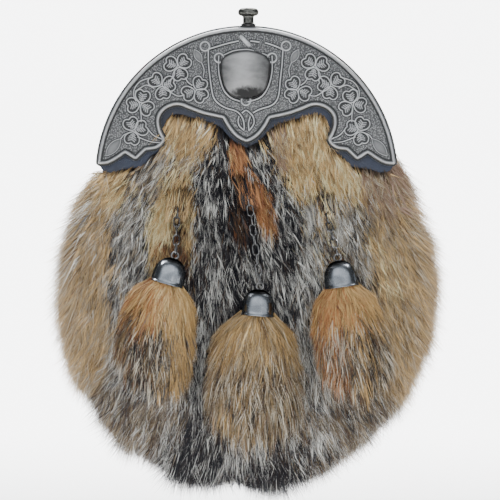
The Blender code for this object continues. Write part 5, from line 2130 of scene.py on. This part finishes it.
    def fringe_edge(self, locks: Locks, angle: Array, under: bool) -> Array:
        """How far from the pouch's middle the fringe's tips come out: an outline with tufts and wisps.

        Args:
            locks: the fringe's locks.
            angle: each hair's angle from straight up.
            under: whether they are the short broad hairs.

        Returns:
            The radius of each tip.
        """
        rng = self.rng
        wisp = rng.exponential(1.0, locks.count)[locks.of] * 0.9 + rng.exponential(1.0, locks.hairs) * 2.0
        edge, out = FORM.radius(FUR_OUTLINE, angle), lumps(angle)
        if under:
            return edge + np.minimum(out, 0) - rng.uniform(2.0, 6.0, locks.hairs)
        low, turn = np.clip((from_top(angle) - 90) / 40, 0, 1), np.radians(angle)
        tufts = sum(size * np.sin(turn * waves + start) for size, waves, start in RAGGED)
        return edge - 0.3 + tufts * low + out + np.minimum(wisp, 8.0)

    def sizes_to_reach(self, root: Array, way: Array, base: Array, target: Array, longest: Array) -> Array:
        """The sizes at which the fringe's tips come out at a target radius, found by steps.

        Args:
            root: where the hairs start, as X and Z.
            way: how far a size of 1 takes the tips.
            base: the roots' radius.
            target: the target radius.
            longest: the greatest sizes.

        Returns:
            The sizes.
        """
        size = np.full(len(root), 18.0)
        for _ in range(6):
            tip = root + way * size[:, None]
            tip_reach = np.hypot(tip[:, 0], tip[:, 1] - FORM.middle_z)
            size *= np.clip((target - base) / np.maximum(tip_reach - base, 1.0), 0.6, 1.6)
            size = np.clip(size, 7, longest)
        return size

    def covers(self) -> Strands:
        """Tufts that fall over the staples, so that the chains come out of the coat.

        Returns:
            The hairs.
        """
        rng = self.rng
        locks = Locks(rng, self.cover_count, 4, 4)
        strand = locks.strand_even() * 0.8
        paths = []
        for row in TASSELS:
            staple = Chain(row).line().staple
            side = locks.lock(0, 2.2) + locks.hair(0, 0.3)
            rise = locks.lock_even(7.0, 15.0) + locks.hair(0, 0.4)
            fall = rise + locks.lock_even(1.0, 7.5)
            lean = self.flow(np.array([staple.x]), np.array([staple.z]))[0]
            slope = np.tan(np.radians(locks.lock(lean, 9)))
            sway = locks.lock(0, 0.8)
            foot = FORM.front_y(staple.x + side, staple.z + rise) - 1.0
            crest = staple.y - rng.uniform(0.8, 2.2, locks.hairs) - foot
            path = []
            for share in (0.0, 0.35, 0.7, 1.0):
                x = staple.x + side + slope * (fall * share - rise) + sway * share
                y = foot + crest * np.minimum(share * fall / rise, 1.0) ** 0.8
                path.append(np.stack([x, y, staple.z + rise - fall * share], 1))
            paths.append(np.stack(path, 1))
        path = np.concatenate(paths)
        strand = np.tile(strand, len(TASSELS))
        blur = rng.normal(0, 2.4, len(strand))
        kind = self.kinds(path[:, 2, 0] + blur, path[:, 2, 2], 0, strand, strand)
        return Strands(path, self.facings(path, 40), rng.uniform(0.09, 0.19, len(path)), kind)

    def facings(self, path: Array, roll: float) -> Array:
        """The ways that the hairs' flat sides face: out of the coat, rolled at random.

        Args:
            path: the hairs' points.
            roll: how much they are rolled, in degrees.

        Returns:
            The ways, one for each hair.
        """
        x, z = path[:, 1, 0], path[:, 1, 2]
        right = FORM.front_y(x + 1, z) - FORM.front_y(x - 1, z)
        up = FORM.front_y(x, z + 1) - FORM.front_y(x, z - 1)
        return self.rolled(path, np.stack([right / 2, -np.ones(len(x)), up / 2], 1), roll)

    def rolled(self, path: Array, out: Array, roll: float) -> Array:
        """Directions turned at random about each hair's run."""
        run = unit(path[:, -1] - path[:, 0])
        return turned_about(unit(out), run, self.rng.normal(0, roll, len(path)))

    def build(self) -> None:
        """Makes the coat's pieces."""
        hair = HairFinish("coyote_hair", 0.12, 0.5, 0.55).material()
        layers = {"fur_under": self.undercoat(self.under_count)}
        for index in range(3):
            layers[f"fur_long_{index + 1}"] = self.long_hair(self.long_count // 3)
        layers["fur_fringe"] = self.fringe(self.fringe_count)
        layers["fur_fringe_under"] = self.fringe(self.fringe_under_count, True)
        layers["fur_over_staples"] = self.covers()
        for name, strands in layers.items():
            replaces = ["fur_coat"] if name == "fur_under" else []
            finish_piece(strands.piece(name), hair, replaces, None)


class Tuft(NamedTuple):
    """A share of a tassel's hairs: its shade, how often it comes, and where across the tassel."""

    shade: Shade
    often: float
    middle: float = 0.0
    half: float = 9.0


CROWN_TUFTS = {
    "left": rows(
        Tuft, (Shade.SAND, 5), (Shade.CREAM, 3, 0.1, 0.6), (Shade.AMBER, 5, -0.35, 0.5),
        (Shade.RUST, 4, -0.8, 0.35), (Shade.WHEAT, 3, 0.8, 0.5)),
    "center": rows(
        Tuft, (Shade.SAND, 3), (Shade.WHEAT, 4), (Shade.KHAKI, 4), (Shade.UMBER, 2),
        (Shade.CREAM, 2, -0.1, 0.5), (Shade.DRIFT, 2), (Shade.TAUPE, 1)),
    "right": rows(
        Tuft, (Shade.AMBER, 4, -0.3, 0.8), (Shade.SAND, 4), (Shade.WHEAT, 3, 0.6, 0.6),
        (Shade.RUST, 2, -0.7, 0.5)),
}
# How far down each tassel its skirt begins.
SKIRT_TOP = {"left": 0.32, "center": 0.25, "right": 0.25}
SKIRT_TUFTS = {
    "left": rows(
        Tuft, (Shade.FROST, 3.2, -0.3, 0.8), (Shade.CHARCOAL, 4, -0.3, 0.8), (Shade.INK, 3, -0.2, 0.7),
        (Shade.SLATE, 2), (Shade.UMBER, 2), (Shade.RUST, 2, -0.8, 0.4), (Shade.SAND, 5, 0.7, 0.35),
        (Shade.WHEAT, 3, 0.7, 0.4), (Shade.KHAKI, 2)),
    "center": rows(
        Tuft, (Shade.KHAKI, 4), (Shade.UMBER, 2.5), (Shade.TAUPE, 4), (Shade.FROST, 4.5),
        (Shade.CHARCOAL, 5), (Shade.MAUVE, 2), (Shade.SAND, 2, -0.6, 0.4), (Shade.INK, 2)),
    "right": rows(
        Tuft, (Shade.AMBER, 4, -0.7, 0.3), (Shade.RUST, 3, -0.5, 0.5), (Shade.SAND, 4, 0.2, 0.24),
        (Shade.WHEAT, 2, 0.2, 0.24), (Shade.FROST, 3), (Shade.CHARCOAL, 4, 0.2, 0.8),
        (Shade.INK, 3, 0.5, 0.6), (Shade.SLATE, 2), (Shade.UMBER, 2), (Shade.KHAKI, 2)),
}
# How wide a tassel is by how far down it is, from its cup's width at 0 to its full spread at 1.
SPREAD_RUN = (-0.1, 0, 0.05, 0.12, 0.3, 0.6, 0.85, 1.0, 1.2)
SPREAD = (0, 0.08, 0.44, 0.67, 0.86, 1, 0.94, 0.7, 0.4)
# How far down its depths are given.
DEPTH_RUN = (0, 0.12, 0.5, 0.85, 1.0)


@dataclass
class TasselHair:
    """A tassel: a full body of hair below the cup, laid in short layers over a close dark core."""

    row: TasselRow
    rng: np.random.Generator
    long_count: int = 17000
    core_count: int = 3200
    lock_size: int = 12
    strand_size: int = 2
    root_radius: float = 7.0
    front_y: float = -60.2
    back_y: float = -40.5

    def body(self, run: Array, across: Array, deep: Array) -> Array:
        """Points of the tassel's body.

        Args:
            run: how far down they are, from 0 at the lip to 1 at the ends.
            across: how far across, from -1 to 1.
            deep: how far back, from -1 to 1.

        Returns:
            The points.
        """
        row = self.row
        tilt = math.radians(row.tilt)
        down = np.array([-math.sin(tilt), 0, -math.cos(tilt)])
        side = np.array([math.cos(tilt), 0, -math.sin(tilt)])
        rim = np.array([row.rim_x, TASSEL_Y, row.rim_z])
        tip = np.array([row.end_x, TASSEL_Y, row.end_z])
        bend = rim + down * np.linalg.norm(tip - rim) * 0.42
        s = run[:, None]
        middle = rim * (1 - s) ** 2 + 2 * s * (1 - s) * bend + s * s * tip
        spread = np.interp(run, SPREAD_RUN, SPREAD)
        half = self.root_radius + (row.half_spread - self.root_radius) * spread
        found = middle + side * (across * half)[:, None]
        found[:, 1] += deep * np.interp(run, DEPTH_RUN, (self.root_radius, 8.3, 8.3, 6.5, 4.6))
        return found

    def layer(self, hairs: int, core: bool) -> Strands:
        """One layer of hairs, drawn together in locks towards their ends.

        Args:
            hairs: how many hairs to lay.
            core: whether they are the broad ones of the core.

        Returns:
            The hairs.
        """
        locks = Locks(self.rng, hairs, self.lock_size, self.strand_size)
        turn = locks.lock_even(0, 2 * np.pi)
        limit = 0.97 - 0.17 * np.cos(turn) ** 2 + locks.lock(0, 0.035)
        long = locks.lock_even(0.17, 0.3) * np.where(locks.lock_even() < 0.12, 1.4, 1.0)
        start = -0.16 + locks.lock_even() * (limit - long + 0.16)
        drift = locks.lock(0, 0.16)
        strand = locks.strand_even()
        hair_turn = turn + locks.strand(0, 0.13) + locks.hair(0, 0.025)
        start = start + locks.strand(0, 0.02) + locks.hair(0, 0.01)
        long = long * locks.strand(1, 0.14)
        inner, outer = (0.45, 0.74) if core else (0.74, 1.0)
        swell = locks.lock(0, 0.05) + locks.hair(0, 0.03)
        path = []
        for share in (0.0, 0.5, 1.0):
            angle = turn + (hair_turn - turn) * (1 - 0.6 * share) + drift * share
            run = np.clip(start + long * share, -0.05, None)
            size = inner + (outer + swell - inner) * share**0.6
            size = np.where(run < 0.08, np.minimum(size, 0.96), size)
            path.append(self.body(run, size * np.cos(angle), size * np.sin(angle)))
        path = np.stack(path, 1)
        path[:, :, 1] = np.clip(path[:, :, 1], self.front_y, self.back_y)
        out = unit(np.stack([np.cos(hair_turn), np.sin(hair_turn) - 0.3, np.full(locks.hairs, 0.15)], 1))
        facing = turned_about(out, unit(path[:, -1] - path[:, 0], 1e-6), locks.hair(0, 15 if core else 32))
        low = start + 0.6 * long - SKIRT_TOP[self.row.side] + locks.lock(0, 0.07)
        kind = self.kinds(np.cos(turn), np.clip(low / 0.18, 0, 1), locks.lock_even(), strand)
        width = locks.width(0.16, 0.09, 0.25) * (3.6 if core else 1.0)
        return Strands(path, facing, width, kind)

    def kinds(self, across: Array, low: Array, lock: Array, strand: Array) -> Array:
        """The place across the map for hairs at places across the tassel, from its crown to its skirt.

        Args:
            across: the places across, from -1 to 1.
            low: 0 in the crown and 1 in the skirt.
            lock: a number of 0 to 1 for each hair's lock.
            strand: one for its strand.

        Returns:
            The places, from 0 to 1.
        """
        parts = ((CROWN_TUFTS[self.row.side], 1 - low), (SKIRT_TUFTS[self.row.side], low))
        tufts = []
        for group, held in parts:
            total = sum(tuft.often for tuft in group)
            tufts += [(tuft, held * tuft.often / total) for tuft in group]
        tufts.sort(key=lambda pair: pair[0].shade.brightness)
        weights = [share * np.exp(-(((across - tuft.middle) / tuft.half) ** 2)) for tuft, share in tufts]
        share = np.cumsum(np.stack(weights), axis=0)
        share /= share[-1]
        like = near(self.rng, lock, 0.1)
        draw = np.where(scrambled(strand, LIKENESS) < 0.45, like, strand * 0.999)
        within = 0.6 * scrambled(strand, LIGHTNESS) + 0.4 * self.rng.random(len(lock))
        return shade_place([tuft.shade for tuft, _ in tufts], (share < draw).sum(axis=0), within)

    def build(self, material: Material) -> None:
        """Makes the tassel's hair and its core.

        Args:
            material: their finish.
        """
        side = self.row.side
        long = self.layer(self.long_count, False).piece(f"tassel_long_{side}")
        finish_piece(long, material, [f"tassel_hair_{side}"], None)
        core = self.layer(self.core_count, True).piece(f"tassel_core_{side}")
        finish_piece(core, material, smooth_deg=None)


# ---------------------------------------------------------------- the studio


class Lamp(NamedTuple):
    """A soft rectangular light: its place and its aim in metres, its size and its power in watts."""

    name: str
    place: Triple
    aim: Triple
    size: tuple[float, float]
    watts: float


LAMPS = rows(
    Lamp, ("key", (-0.5, -2.3, 1.7), (0, 0, -0.05), (5.0, 2.4), 42.0),
    ("fill", (1.6, -1.6, 0.3), (0, 0, -0.08), (1.6, 2.0), 7.0),
    ("low", (-0.2, -1.5, -0.38), (0, 0, -0.12), (2.6, 0.5), 9.0),
    ("backdrop", (0.0, 0.9, 2.2), (0, 2.3, 0.4), (3.6, 1.2), 540.0))
SWEEP = ((-6.0, -0.42), (1.2, -0.42), (1.7, -0.36), (2.1, -0.12), (2.3, 0.3), (2.35, 1.0))


@dataclass(frozen=True)
class Studio:
    """A pale sweep, soft lights and a long lens square to the front, in metres."""

    frame_width: float = 0.25
    distance: float = 1.6
    front_y: float = -0.024
    middle_x: float = 0.00175
    middle_z: float = -0.0615
    sensor: float = 36.0
    sweep_half_width: float = 5.0

    def sweep(self) -> None:
        """The pale floor, which curves up into the backdrop."""
        line = smooth_curve(SWEEP, 0.2)
        half = self.sweep_half_width
        points = [(x / MM, point.x / MM, point.y / MM) for x in (-half, half) for point in line]
        count = len(line)
        faces = [(i, i + 1, count + i + 1, count + i) for i in range(count - 1)]
        floor = mesh_object("studio_sweep", points, faces)
        g = Graph("pale_sweep")
        tint = g.mix(g.noise(400.0, 2.0), grey(0.9), grey(0.93))
        floor.data.materials.append(g.finish(Base_Color=tint, Roughness=0.9))
        select_only(floor)
        bpy.ops.object.shade_smooth()

    def light(self, lamp: Lamp) -> None:
        """Sets up a light, turned towards its aim.

        Args:
            lamp: the light's row.
        """
        data = bpy.data.lights.new(lamp.name, "AREA")
        data.shape = "RECTANGLE"
        data.size, data.size_y = lamp.size
        data.energy = lamp.watts
        thing = add_object(lamp.name, data)
        thing.location = lamp.place
        thing.rotation_euler = (Vector(lamp.aim) - Vector(lamp.place)).to_track_quat("-Z", "Y").to_euler()

    def camera(self) -> None:
        """The camera, whose frame is a square at the cantle."""
        data = bpy.data.cameras.new("camera")
        data.sensor_width = self.sensor
        data.lens = self.sensor * self.distance / self.frame_width
        data.clip_end = 100.0
        thing = add_object("camera", data)
        thing.location = (self.middle_x, self.front_y - self.distance, self.middle_z)
        thing.rotation_euler = (math.pi / 2, 0, 0)
        bpy.context.scene.camera = thing

    def sky(self) -> None:
        """A sky that is bright before the object and dim behind it and below it."""
        g = Graph("soft_sky", sky=True)
        bpy.context.scene.world = g.owner
        front = g.node("SeparateXYZ", {0: g.node("TexCoord").outputs["Generated"]}).outputs[1]
        reach = {"Value": front, "From Min": -0.2, "From Max": -0.62, "To Min": 0.12, "To Max": 1.05}
        glow = g.node("MapRange", reach, interpolation_type="SMOOTHSTEP").outputs[0]
        g.put(g.shader, {0: (0.9, 0.95, 1.0), 1: glow})

    def build(self) -> None:
        """Sets up the sweep, the lights, the sky and the camera."""
        self.sweep()
        for lamp in LAMPS:
            self.light(lamp)
        self.sky()
        self.camera()


def main() -> None:
    """Builds the dressed part and its studio.
    """
    logging.basicConfig(level=logging.INFO, format="%(message)s")
    for part in (Studio(), Cantle(), CantleBoard(), Knob(), BackLeather()):
        part.build()
    chain_metal = PlatedMetal("dark_chain", grey(0.22), grey(0.08), 0.26, 1.5).material()
    light, dark = (0.25, 0.268, 0.29), (0.19, 0.205, 0.226)
    chrome = PlatedMetal("dark_chrome", light, dark, 0.2, 4.0, False, "painted_shade").material()
    tassel_hair = HairFinish("tassel_hair", 0.05, 0.5, 0.5, 0.72, (1.0, 0.93, 0.8)).material()
    for index, row in enumerate(TASSELS):
        Chain(row).build(chain_metal)
        Cup(row).build(chrome, chain_metal)
        TasselHair(row, np.random.default_rng(40 + index)).build(tassel_hair)
    Coat(np.random.default_rng(11)).build()


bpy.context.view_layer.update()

if __name__ == "__main__":
    main()
